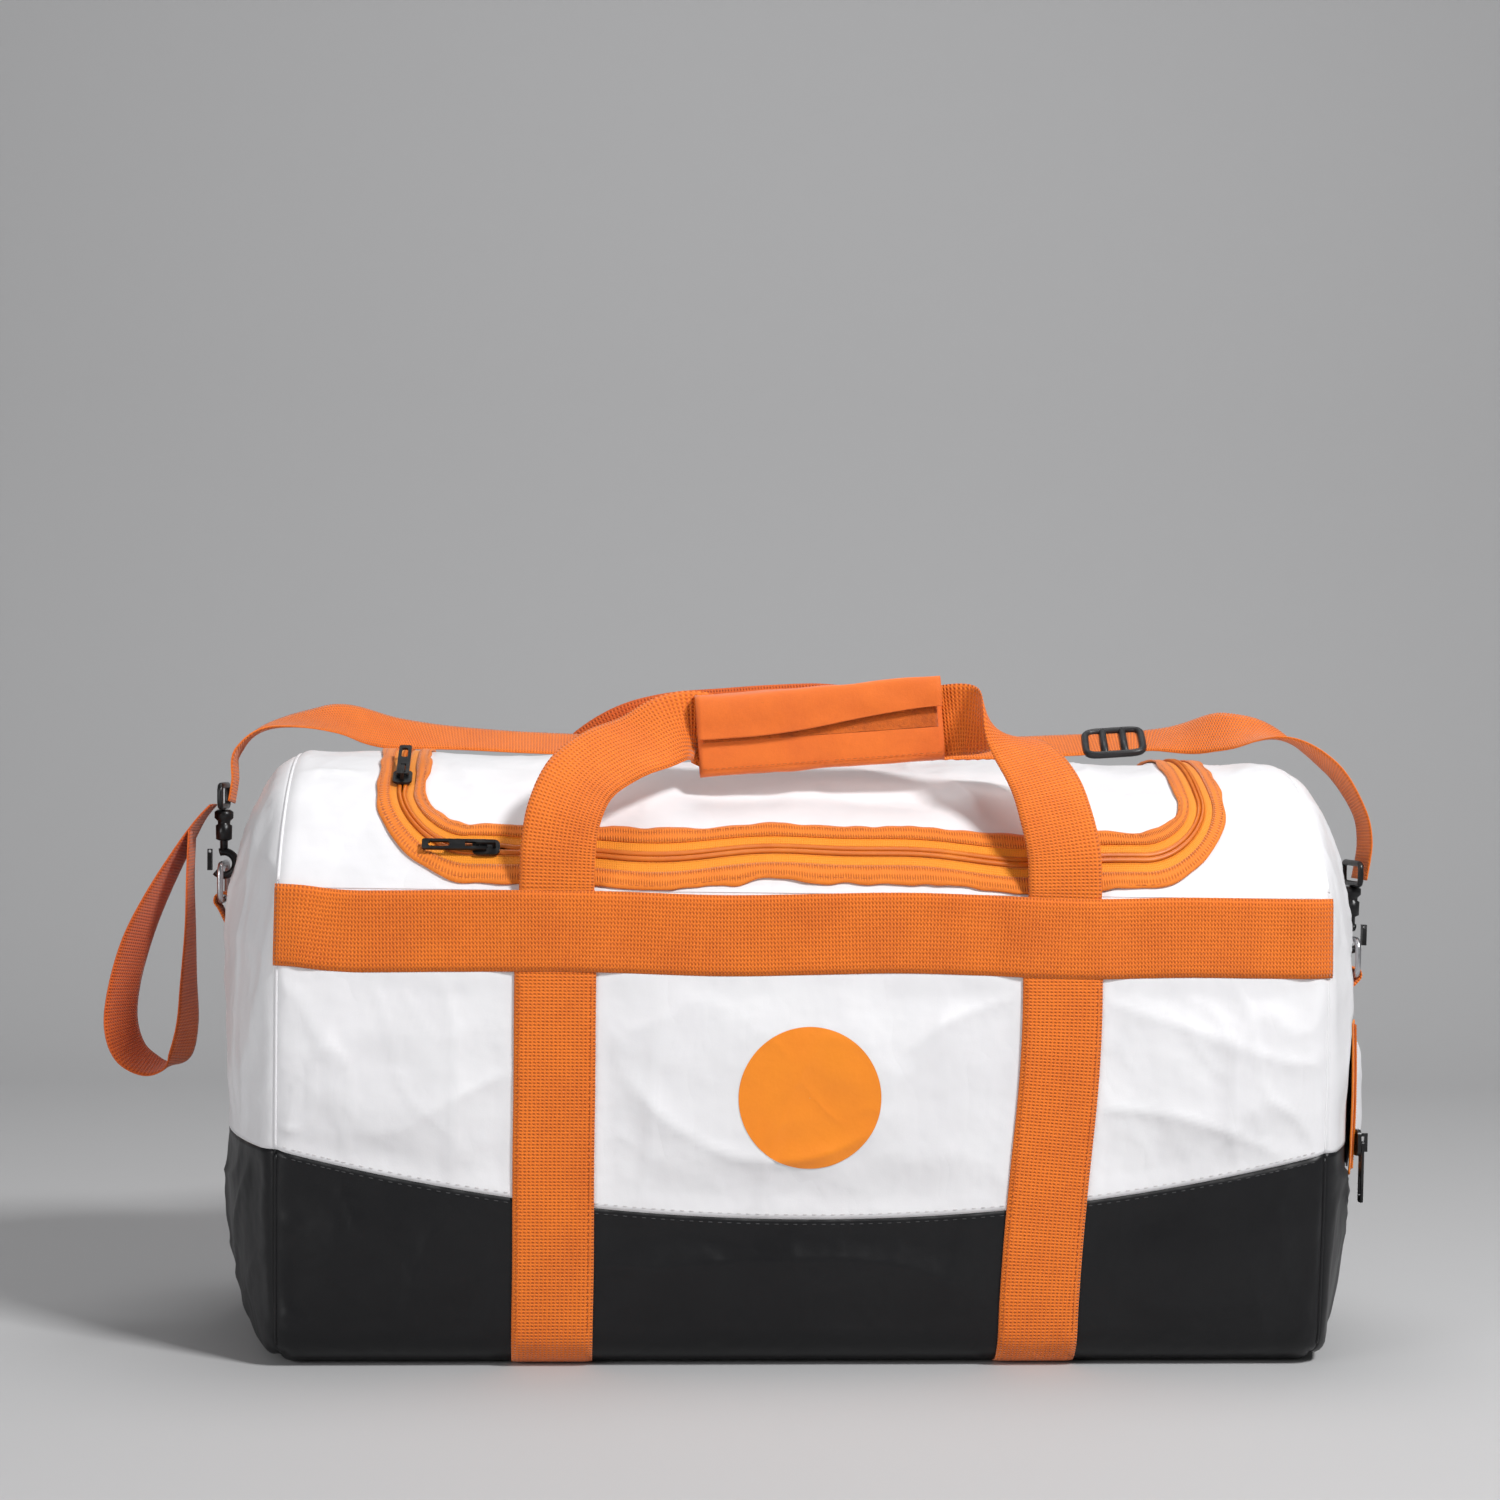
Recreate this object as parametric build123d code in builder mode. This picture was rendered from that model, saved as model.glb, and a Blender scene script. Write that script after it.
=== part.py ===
from build123d import *
from math import cos, radians, sin, sqrt
import os

# Sports duffel bag. X runs along the bag, Y from front (-) to back (+), Z up.
# The origin is the centre of the rectangle on which the bag rests, at floor level.

# Driving dimensions, in millimetres
half_length = 330.0          # middle of the bag to the end seam
half_depth = 155.0           # middle of the bag to the front edge of the dome
wall_bulge = 5.0             # how far the front and back walls swell at mid height
end_bulge = 40.0             # how far each end swells past its seam
end_foot = 22.0              # and how far it still swells at the floor
end_brow = 5.0               # and at the crest
webbing = 1.8                # thickness of the orange webbing
webbing_width = 50.0
strap_x = 157.0              # middle of each upright strap
floor_lift = 0.0             # the webbing under the base lies flush in it
band_top = 296.0             # the top edge of the band is the edge of the dome
band_bottom = band_top - webbing_width
crest = 380.0                # highest line of the dome
cloth = 3.0                  # coated cloth with its lining and seam allowance
base_radius = 28.0
seam_middle = 94.0           # height of the black base at the middle of the front
seam_end = 136.0             # and where it meets the ends
corner_seam = 4.0            # width of the end panels' share of each corner
clear = 1.0                  # gap between the lid and the bag along the zip
zip_half_width = 15.0        # zip tape on each side of the coil
coil_half_width = 3.0
lid_half_length = 255.0
lid_front = -137.0           # line of the coil along the front
lid_back = 60.0              # the lid folds along this line
lid_corner = 45.0
seam_gap = 0.2               # from the front wall's upper edge to the zip tape
lap = 0.35                   # space between pieces that slide past each other
board_thickness = 4.0
handle_lift = 3.0            # handle fold above the band
handle_lean = 78.0           # rise of each handle leg from level, in degrees
leg_length = 62.0
shoulder_width = 38.0        # shoulder strap webbing
reach = 900.0                # longer than anything in the bag

# The dome is an arc over the full depth
dome_rise = crest - band_top
dome_radius = (half_depth**2 + dome_rise**2) / (2 * dome_rise)
dome_z = crest - dome_radius
wall_middle = (band_top + floor_lift) / 2
end_belly = end_bulge + 5.0  # fullest reach of each end's front view, at mid height
side_split = lid_half_length - lid_corner
top_edge = half_length - corner_seam


def dome_height(y, grow=0.0):
    """Height of the dome's outer face, or of a face that stands grow outside it."""
    return dome_z + sqrt((dome_radius + grow) ** 2 - y**2)


wall_top = dome_height(lid_front - zip_half_width)


def save(builder, label):
    builder.part.label = label
    export_step(builder.part, f"parts/{label}.step")


os.makedirs("parts", exist_ok=True)


# Full bodies of the bag, from which the thin panels are cut

def bag_body(grow, floor):
    """The bag's outer shape, grown by grow on its walls, with its underside at floor."""
    wall = half_depth + grow
    top = band_top
    with BuildSketch(Plane.YZ.offset(-reach / 2)) as section:
        with BuildLine():
            Line((-wall + base_radius, floor), (wall - base_radius, floor))
            TangentArc((wall - base_radius, floor), (wall, floor + base_radius), tangent=(1, 0))
            ThreePointArc((wall, floor + base_radius), (wall + wall_bulge, wall_middle), (wall, top))
            ThreePointArc((wall, top), (0, crest + grow), (-wall, top))
            ThreePointArc((-wall, top), (-wall - wall_bulge, wall_middle), (-wall, floor + base_radius))
            TangentArc((-wall + base_radius, floor), (-wall, floor + base_radius), tangent=(-1, 0))
        make_face()
    extrude(section.sketch, amount=reach)
    end = half_length + grow
    side = half_depth + wall_bulge + grow
    with BuildSketch(Plane.XY.offset(-reach / 4)) as plan:
        with BuildLine():
            Line((-end, -side), (end, -side))
            ThreePointArc((end, -side), (end + end_bulge, 0), (end, side))
            Line((end, side), (-end, side))
            ThreePointArc((-end, side), (-end - end_bulge, 0), (-end, -side))
        make_face()
    extrude(plan.sketch, amount=reach, mode=Mode.INTERSECT)
    low = floor - webbing
    high = crest + cloth
    with BuildSketch(Plane.XZ.offset(-reach / 4)) as front_view:
        with BuildLine():
            Line((-end - end_foot, low), (end + end_foot, low))
            ThreePointArc((end + end_foot, low), (end + end_belly, wall_middle), (end + end_brow, high))
            Line((end + end_brow, high), (-end - end_brow, high))
            ThreePointArc((-end - end_brow, high), (-end - end_belly, wall_middle), (-end - end_foot, low))
        make_face()
    extrude(front_view.sketch, amount=reach / 2, mode=Mode.INTERSECT)


with BuildPart() as outer_body:
    bag_body(0, floor_lift)

with BuildPart() as inner_body:
    bag_body(-cloth, floor_lift + cloth)

with BuildPart() as strap_body:
    bag_body(webbing, floor_lift)

with BuildPart() as band_body:
    bag_body(2 * webbing, floor_lift)

with BuildPart() as core_body:
    bag_body(0, floor_lift + webbing)


def shell(outside, inside):
    """The thin skin between two full bodies."""
    add(outside.part)
    add(inside.part, mode=Mode.SUBTRACT)


# Lid outline, shared by the lid, the zip and the hole in the top

def lid_outline(grow):
    """Plan of the lid's free edge, grown by grow. It runs on behind the fold line."""
    half = lid_half_length + grow
    front = lid_front - grow
    tail = lid_back + reach / 4
    with BuildSketch(Plane.XY) as plan:
        with Locations((0, (front + tail) / 2)):
            Rectangle(2 * half, tail - front)
        fillet(plan.vertices().group_by(Axis.Y)[0], lid_corner + grow)
    return plan.sketch


def seam_outline(low, high, below):
    """Front view of the area under (or over) the curved seam above the black base."""
    edge = half_length - corner_seam
    rim = low if below else high
    with BuildLine() as outline:
        ThreePointArc((-edge, seam_end), (0, seam_middle), (edge, seam_end))
        Line((edge, seam_end), (edge, rim))
        Line((edge, rim), (-edge, rim))
        Line((-edge, rim), (-edge, seam_end))
    make_face(outline.edges())


def wall_region(side):
    """Plane from which a wall is cut: side -1 is the front and 1 the back."""
    return Plane.XZ.offset(-side * (half_depth - base_radius))


def wall_panel(side, label, below):
    with BuildPart() as panel:
        shell(outer_body, inner_body)
        with BuildSketch(wall_region(side)):
            seam_outline(base_radius + floor_lift, wall_top, below)
        extrude(amount=-side * reach / 2, mode=Mode.INTERSECT)
        if side < 0:
            with BuildSketch(Plane.XY.offset(band_bottom)):
                add(lid_outline(zip_half_width + seam_gap))
            extrude(amount=reach, mode=Mode.SUBTRACT)
    save(panel, label)


wall_panel(-1, "front_panel", False)
wall_panel(1, "rear_panel", False)
wall_panel(-1, "base_front_panel", True)
wall_panel(1, "base_rear_panel", True)


# Webbing under the base, pressed flush into it
with BuildPart() as base_straps:
    shell(strap_body, core_body)
    with BuildSketch(Plane.XY):
        with Locations((-strap_x, 0), (strap_x, 0)):
            Rectangle(webbing_width, reach)
    extrude(amount=base_radius, mode=Mode.INTERSECT)
save(base_straps, "base_straps")


# Bottom of the black base, up to the top of its rounded long edges
with BuildPart() as base_bottom:
    shell(outer_body, inner_body)
    with BuildSketch(Plane.XY):
        Rectangle(2 * (half_length - corner_seam), reach)
    extrude(amount=base_radius + floor_lift, mode=Mode.INTERSECT)
    add(base_straps.part, mode=Mode.SUBTRACT)
save(base_bottom, "base_bottom_panel")


def end_panel(side, label, low, high):
    """One end of the bag between two heights: side -1 is the left and 1 the right."""
    with BuildPart() as panel:
        shell(outer_body, inner_body)
        with BuildSketch(Plane.YZ.offset(side * (half_length - corner_seam))):
            with Locations((0, (low + high) / 2)):
                Rectangle(reach, high - low)
        extrude(amount=side * reach / 2, mode=Mode.INTERSECT)
    save(panel, label)


for side, name in ((-1, "left"), (1, "right")):
    end_panel(side, f"{name}_end_panel", seam_end, reach)
    end_panel(side, f"base_{name}_panel", 0, seam_end)


def lid_ring(outside, inside, back):
    """Upright wall between two lid outlines, in front of the line at back."""
    add(lid_outline(outside))
    add(lid_outline(inside), mode=Mode.SUBTRACT)
    with Locations((0, back - reach / 2)):
        Rectangle(reach, reach, mode=Mode.INTERSECT)


def top_panel(label, x_low, x_high, y_low, y_high):
    """Part of the white top round the zip, cut from the dome in plan."""
    with BuildPart() as panel:
        shell(outer_body, inner_body)
        with BuildSketch(Plane.XY.offset(wall_top)):
            with Locations(((x_low + x_high) / 2, (y_low + y_high) / 2)):
                Rectangle(x_high - x_low, y_high - y_low)
        extrude(amount=reach, mode=Mode.INTERSECT)
        with BuildSketch(Plane.XY.offset(band_top)):
            add(lid_outline(zip_half_width))
            with Locations((0, lid_back - reach / 2)):
                Rectangle(reach, reach, mode=Mode.INTERSECT)
        extrude(amount=reach, mode=Mode.SUBTRACT)
    save(panel, label)


top_panel("top_left_panel", -top_edge, -side_split, -reach / 2, lid_back)
top_panel("top_right_panel", side_split, top_edge, -reach / 2, lid_back)
top_panel("top_rear_panel", -top_edge, top_edge, lid_back, reach / 2)


# Lid and its half of the zip

fold_gap = lid_back - lap

with BuildPart() as lid_panel:
    shell(outer_body, inner_body)
    with BuildSketch(Plane.XY.offset(band_top)):
        add(lid_outline(-zip_half_width))
        with Locations((0, fold_gap - reach / 2)):
            Rectangle(reach, reach, mode=Mode.INTERSECT)
    extrude(amount=reach, mode=Mode.INTERSECT)
save(lid_panel, "lid_panel")

slider_length = 17.0
slider_width = 12.0
front_slider_x = -lid_half_length + lid_corner + slider_length / 2 + 1
left_slider_y = lid_front + lid_corner + slider_length / 2 + 1


def slider_notch():
    """Clears the lid's tape round the two parked sliders, where the zip stays open."""
    margin = 2.0
    far = slider_width / 2 + margin
    with BuildSketch(Plane.XY.offset(band_top)) as notch:
        with Locations((front_slider_x, lid_front + far / 2 - clear)):
            Rectangle(slider_length + 2 * margin, far + 2 * clear)
        with Locations((-lid_half_length + far / 2 - clear, left_slider_y)):
            Rectangle(far + 2 * clear, slider_length + 2 * margin)
    extrude(notch.sketch, amount=reach, mode=Mode.SUBTRACT)


def zip_strip(label, outside, inside, back, grow_out, grow_in, notched):
    """One strip of the zip: a ring in plan, between two depths from the dome's face."""
    with BuildPart() as strip:
        with BuildSketch(Plane.XY.offset(band_top - 2 * zip_half_width)):
            lid_ring(outside, inside, back)
        extrude(amount=reach / 3)
        with BuildSketch(Plane.YZ.offset(-reach / 2)):
            with Locations((0, dome_z)):
                Circle(dome_radius + grow_out)
                Circle(dome_radius + grow_in, mode=Mode.SUBTRACT)
        extrude(amount=reach, mode=Mode.INTERSECT)
        if notched:
            slider_notch()
    save(strip, label)


coil_stand = 1.6
half_clear = clear / 2
zip_strip("lid_zip_tape", -coil_half_width, -zip_half_width, fold_gap, 0, -webbing, True)
zip_strip("lid_zip_coil", -half_clear, -coil_half_width, fold_gap, coil_stand, -coil_stand, True)
zip_strip("bag_zip_tape", zip_half_width, coil_half_width, lid_back, 0, -webbing, False)
zip_strip("bag_zip_coil", coil_half_width, half_clear, lid_back, coil_stand, -coil_stand, False)


# Stiff board inside, on the base
board_gap = 10.0
board_half_depth = half_depth - base_radius - 2 * cloth
with BuildPart() as base_board:
    with BuildSketch(Plane.XY.offset(floor_lift + cloth)):
        RectangleRounded(2 * (half_length - board_gap), 2 * board_half_depth, base_radius)
    extrude(amount=board_thickness)
save(base_board, "base_board")


# Webbing: the bands sewn into the corner seams, and the four upright straps

for side, name in ((-1, "front"), (1, "rear")):
    with BuildPart() as band:
        shell(band_body, strap_body)
        with BuildSketch(wall_region(side)):
            with Locations((0, (band_top + band_bottom) / 2)):
                Rectangle(2 * (half_length - corner_seam), webbing_width)
        extrude(amount=-side * reach / 2, mode=Mode.INTERSECT)
    save(band, f"band_{name}")

for side, depth_name in ((-1, "front"), (1, "rear")):
    for end, end_name in ((-1, "left"), (1, "right")):
        with BuildPart() as strap:
            shell(strap_body, outer_body)
            with BuildSketch(wall_region(side)):
                with Locations((end * strap_x, (band_top + base_radius) / 2)):
                    Rectangle(webbing_width, band_top - base_radius)
            extrude(amount=-side * reach / 2, mode=Mode.INTERSECT)
        save(strap, f"{depth_name}_strap_{end_name}")


# Zip sliders and pulls. Each slider has a plate above the tape, a plate below it, a neck
# that runs in the gap between the coils, and an arch on top for its pull.

plate = 1.4
plate_gap = 2.2              # from the tape's face to each plate
arch_length = 12.0
arch_width = 2.4
arch_height = 5.4
arch_wall = 2.0
pull_length = 40.0
pull_width = 8.0
pull_thickness = 1.6
pull_axis = plate_gap + plate + 1.8
pull_slot = 3.4


def slider(label, place, neck_x, neck_y):
    """place lies on the tape over the coil, with X along the travel and Z outward."""
    low = -plate_gap - plate
    with BuildPart() as body:
        for level in (plate_gap, low):
            with BuildSketch(place.offset(level)):
                RectangleRounded(slider_length, slider_width, slider_width / 3)
            extrude(amount=plate)
        with BuildSketch(Plane(origin=place.origin).offset(-neck_height / 2)):
            Rectangle(neck_x, neck_y)
        extrude(amount=neck_height)
        with BuildSketch(place.offset(plate_gap + plate)):
            Rectangle(arch_length, arch_width)
        extrude(amount=arch_height)
        with BuildSketch(place.offset(plate_gap + plate)):
            Rectangle(arch_length - 2 * arch_wall, 2 * arch_width)
        extrude(amount=arch_height - arch_wall, mode=Mode.SUBTRACT)
    save(body, label)


def pull(label, place):
    """A flat tab that turns on its own cross bar inside the arch and points along -X."""
    bar = pull_thickness / 2
    with BuildPart() as tab:
        with BuildSketch(place.offset(pull_axis - bar)):
            with Locations((bar - pull_length / 2, 0)):
                RectangleRounded(pull_length, pull_width, pull_width / 5)
            with Locations((-bar - arch_length / 2, 0)):
                Rectangle(arch_length, pull_slot, mode=Mode.SUBTRACT)
            with Locations((-pull_length * 0.72, 0)):
                SlotOverall(pull_length / 3, pull_width / 2, mode=Mode.SUBTRACT)
        extrude(amount=pull_thickness)
    save(tab, label)


def flipped(place):
    return Plane(origin=place.origin, x_dir=-place.x_dir, z_dir=place.z_dir)


neck_length = 4.0
neck_thin = 0.5
neck_height = 7.8

front_normal = (0, lid_front / dome_radius, (dome_height(lid_front) - dome_z) / dome_radius)
front_place = Plane(
    origin=(front_slider_x, lid_front, dome_height(lid_front)), x_dir=(1, 0, 0), z_dir=front_normal
)
left_normal = (0, left_slider_y / dome_radius, (dome_height(left_slider_y) - dome_z) / dome_radius)
left_place = Plane(
    origin=(-lid_half_length, left_slider_y, dome_height(left_slider_y)),
    x_dir=(0, left_normal[2], -left_normal[1]),
    z_dir=left_normal,
)
slider("front_slider", front_place, neck_length, neck_thin)
pull("front_pull", front_place)
slider("left_slider", left_place, neck_thin, neck_length)
pull("left_pull", flipped(left_place))


# Pocket on the right end: a flat cloth pocket with an upright zip along its front edge

pocket_front = -110.0
pocket_back = 95.0
pocket_low = 118.0
pocket_high = 212.0
pocket_rise = 7.0            # how far the pocket stands off the end panel
pocket_zip_y = -96.0
pocket_tape = 11.0
end_outer = half_length + end_bulge
end_radius = ((half_depth + wall_bulge) ** 2 + end_bulge**2) / (2 * end_bulge)


def end_face(y):
    """Distance from the middle of the bag to the outer face of the end at y."""
    return end_outer - end_radius + sqrt(end_radius**2 - y**2)


pocket_middle = (pocket_low + pocket_high) / 2

with BuildPart() as pocket_solid:
    with BuildSketch(Plane.XY.offset(pocket_low)):
        with BuildLine():
            ThreePointArc(
                (end_face(pocket_front), pocket_front), (end_outer, 0), (end_face(pocket_back), pocket_back)
            )
            Line((end_face(pocket_back), pocket_back), (end_face(pocket_back) + cloth, pocket_back))
            ThreePointArc(
                (end_face(pocket_back) + cloth, pocket_back),
                (end_outer + pocket_rise, 0),
                (end_face(pocket_front) + cloth, pocket_front),
            )
            Line((end_face(pocket_front) + cloth, pocket_front), (end_face(pocket_front), pocket_front))
        make_face()
    extrude(amount=pocket_high - pocket_low)

# The pocket's face begins behind the zip
pocket_edge = pocket_zip_y + pocket_tape
with BuildPart() as pocket_panel:
    add(pocket_solid.part)
    with BuildSketch(Plane.XY.offset(pocket_low)):
        with Locations((end_outer, (pocket_edge + pocket_back) / 2)):
            Rectangle(4 * end_bulge, pocket_back - pocket_edge)
    extrude(amount=pocket_high - pocket_low, mode=Mode.INTERSECT)
save(pocket_panel, "right_pocket_panel")

pocket_zip_x = end_face(pocket_zip_y) + 4.8

with BuildPart() as pocket_tapes:
    with BuildSketch(Plane.YZ.offset(pocket_zip_x - webbing)):
        with Locations((pocket_zip_y - pocket_tape / 2 - half_clear, pocket_middle)):
            Rectangle(pocket_tape - 1, pocket_high - pocket_low)
        with Locations((pocket_zip_y + pocket_tape / 2 + half_clear, pocket_middle)):
            Rectangle(pocket_tape - 1, pocket_high - pocket_low)
    extrude(amount=webbing)
save(pocket_tapes, "pocket_zip_tapes")

pocket_place = Plane(
    origin=(pocket_zip_x, pocket_zip_y, pocket_low + slider_length), x_dir=(0, 0, 1), z_dir=(1, 0, 0)
)
pocket_plate = plate + 1.0   # this slider has one thicker plate, above the tape
with BuildPart() as pocket_slider:
    with BuildSketch(pocket_place.offset(plate_gap + plate - pocket_plate)):
        RectangleRounded(slider_length, slider_width, slider_width / 3)
    extrude(amount=pocket_plate)
    with BuildSketch(pocket_place.offset(plate_gap + plate)):
        Rectangle(arch_length, arch_width)
    extrude(amount=arch_height)
    with BuildSketch(pocket_place.offset(plate_gap + plate)):
        Rectangle(arch_length - 2 * arch_wall, 2 * arch_width)
    extrude(amount=arch_height - arch_wall, mode=Mode.SUBTRACT)
save(pocket_slider, "pocket_slider")
pull("pocket_pull", pocket_place)


# Carrying handles. Each is one length of webbing: two legs that rise from the edge of the
# dome, fold over, and meet in a middle stretch that stands on edge.

handle_y = half_depth + 2 * webbing + 1.4
handle_z = band_top + handle_lift
leg_inset = 12.0             # how far each leg leans towards the middle of the bag
knee_x = strap_x - leg_inset
leg_start = 2.0


def handle_leg(side, end, label, target, height):
    """side is -1 front or 1 back, end is -1 left or 1 right, target the end of the middle."""
    rise = radians(handle_lean)
    along = Vector(0, -side * cos(rise), sin(rise))
    foot = Vector(end * strap_x, side * handle_y, handle_z)
    knee = foot + along * leg_length + Vector(-end * leg_inset, 0, 0)
    leg_plane = Plane(origin=foot, x_dir=(1, 0, 0), z_dir=Vector(0, -sin(rise), -side * cos(rise)))
    half = webbing_width / 2
    lean = -end * leg_inset
    halfway = (knee + target) * 0.5
    turned = Vector(webbing_width / 2, 0, end * height / 2)
    flip = 1 if leg_plane.y_dir.Z > 0 else -1
    with BuildPart() as leg:
        with BuildSketch(leg_plane):
            Polygon(
                (-half, flip * leg_start),
                (half, flip * leg_start),
                (half + lean, flip * leg_length),
                (-half + lean, flip * leg_length),
                align=None,
            )
        extrude(amount=webbing / 2, both=True)
        with BuildSketch(Plane(origin=knee, x_dir=(1, 0, 0), z_dir=along)) as lower:
            Rectangle(webbing_width, webbing)
        with BuildSketch(Plane(origin=halfway, x_dir=turned, z_dir=turned.cross(Vector(0, 1, 0)))) as middle:
            Rectangle(turned.length, webbing)
        with BuildSketch(Plane(origin=target, x_dir=(0, 0, end), z_dir=(-end, 0, 0))) as upper:
            Rectangle(height, webbing)
        loft(sections=[lower.sketch, middle.sketch, upper.sketch], ruled=True)
    save(leg, label)


def handle_middle(label, left, right, height, layers):
    """Upright strip of webbing between two points that share one depth."""
    with BuildPart() as middle:
        with BuildSketch(Plane.XZ.offset(-left.Y)):
            Polygon(
                (left.X, left.Z - height / 2),
                (right.X, right.Z - height / 2),
                (right.X, right.Z + height / 2),
                (left.X, left.Z + height / 2),
                align=None,
            )
        extrude(amount=layers * webbing / 2, both=True)
    save(middle, label)


grip_y = -88.0
middle_height = 40.0
front_left_end = Vector(-70, grip_y, 390)
front_right_end = Vector(88, grip_y, 404)
handle_leg(-1, -1, "front_handle_left", front_left_end, middle_height)
handle_leg(-1, 1, "front_handle_right", front_right_end, middle_height)
handle_middle("front_handle_middle", front_left_end, front_right_end, middle_height, 1)

rear_middle_y = 128.0
rear_left_end = Vector(-66, rear_middle_y, 402)
rear_right_end = Vector(70, rear_middle_y, 406)
handle_leg(1, -1, "rear_handle_left", rear_left_end, middle_height)
handle_leg(1, 1, "rear_handle_right", rear_right_end, middle_height)
handle_middle("rear_handle_middle", rear_left_end, rear_right_end, middle_height, 1)


# Grip: a padded cuff round the middle of the front handle, closed by a flap with
# hook-and-loop patches. Its section is drawn across the handle and pulled along it.

grip_half_height = 24.0
grip_half_depth = 6.0
grip_skin = 2.0
grip_margin = 1.0
lip_top = 16.0
patch = 0.8
patch_gap = 0.4
grip_line = front_right_end - front_left_end
grip_start = front_left_end + grip_line.normalized() * grip_margin
grip_length = grip_line.length - 2 * grip_margin
grip_plane = Plane(origin=grip_start, x_dir=(0, 1, 0), z_dir=grip_line)


def grip_piece(label, boxes):
    """Each box is (low depth, low height, high depth, high height) in the grip's section."""
    with BuildPart() as piece:
        with BuildSketch(grip_plane):
            for low_y, low_z, high_y, high_z in boxes:
                with Locations(((low_y + high_y) / 2, (low_z + high_z) / 2)):
                    Rectangle(high_y - low_y, high_z - low_z)
        extrude(amount=grip_length)
    save(piece, label)


back = grip_half_depth
top = grip_half_height
flap_under = top + patch_gap
flap_face = back + 2 * patch + 2 * patch_gap
grip_piece(
    "grip_cuff",
    [
        (back - grip_skin, -top, back, top),
        (-back, -top, back, -top + grip_skin),
        (-back, -top, -back + grip_skin, lip_top),
    ],
)
grip_piece("grip_loop_patch", [(-back - patch, -top / 8, -back, lip_top - 2)])
grip_piece(
    "grip_flap",
    [
        (-flap_face - grip_skin, flap_under, back, flap_under + grip_skin),
        (-flap_face - grip_skin, top / 8, -flap_face, flap_under + grip_skin),
    ],
)
grip_piece("grip_hook_patch", [(-flap_face, top / 4, -flap_face + patch, lip_top + 2)])


# Rings, hooks and shoulder strap

ring_wire = 2.0
ring_half_width = 20.0
ring_height = 24.0
tab_half_width = 13.0
tab_length = 20.0
tab_lip = 5.5
hook_inner = 5.0
hook_outer = 10.5
hook_depth = 10.0
shank_length = 22.0
cheek_height = 11.0          # wide part of the hook that holds the gate's pin
gate_depth = 5.0
gate_length = 14.0
gate_thickness = 3.0
gate_mouth = 10.0            # opening of the hook, closed by the gate
gate_channel = 18.0          # height of the slot in which the gate swings
channel_width = 9.0
channel_side = 0.3
pin_rise = 3.0
swivel_radius = 6.3
eye_corner = 4.0
pin_radius = 1.0
pin_gap = 0.06
eye_half_width = shoulder_width / 2 + 5
eye_height = 16.0
eye_wire = 4.0
left_ring_z = 304.0
right_ring_z = 262.0


def end_profile(z):
    """Reach of the bag's ends in front view, at a height."""
    low = Vector(half_length + end_foot, -webbing)
    belly = Vector(half_length + end_belly, wall_middle)
    high = Vector(half_length + end_brow, crest + cloth)
    side_a, side_b = belly - low, high - low
    twice = 2 * (side_a.X * side_b.Y - side_a.Y * side_b.X)
    square_a, square_b = side_a.length**2, side_b.length**2
    centre_x = low.X + (side_b.Y * square_a - side_a.Y * square_b) / twice
    centre_z = low.Y + (side_a.X * square_b - side_b.X * square_a) / twice
    radius = sqrt((low.X - centre_x) ** 2 + (low.Y - centre_z) ** 2)
    return min(end_outer, centre_x + sqrt(radius**2 - (z - centre_z) ** 2))


def ring_reach(ring_z):
    """Distance of a ring from the middle of the bag: its hook clears the bulging end."""
    body = max(end_profile(ring_z), end_profile(ring_z - ring_height))
    return body + hook_outer + 1.5


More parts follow.
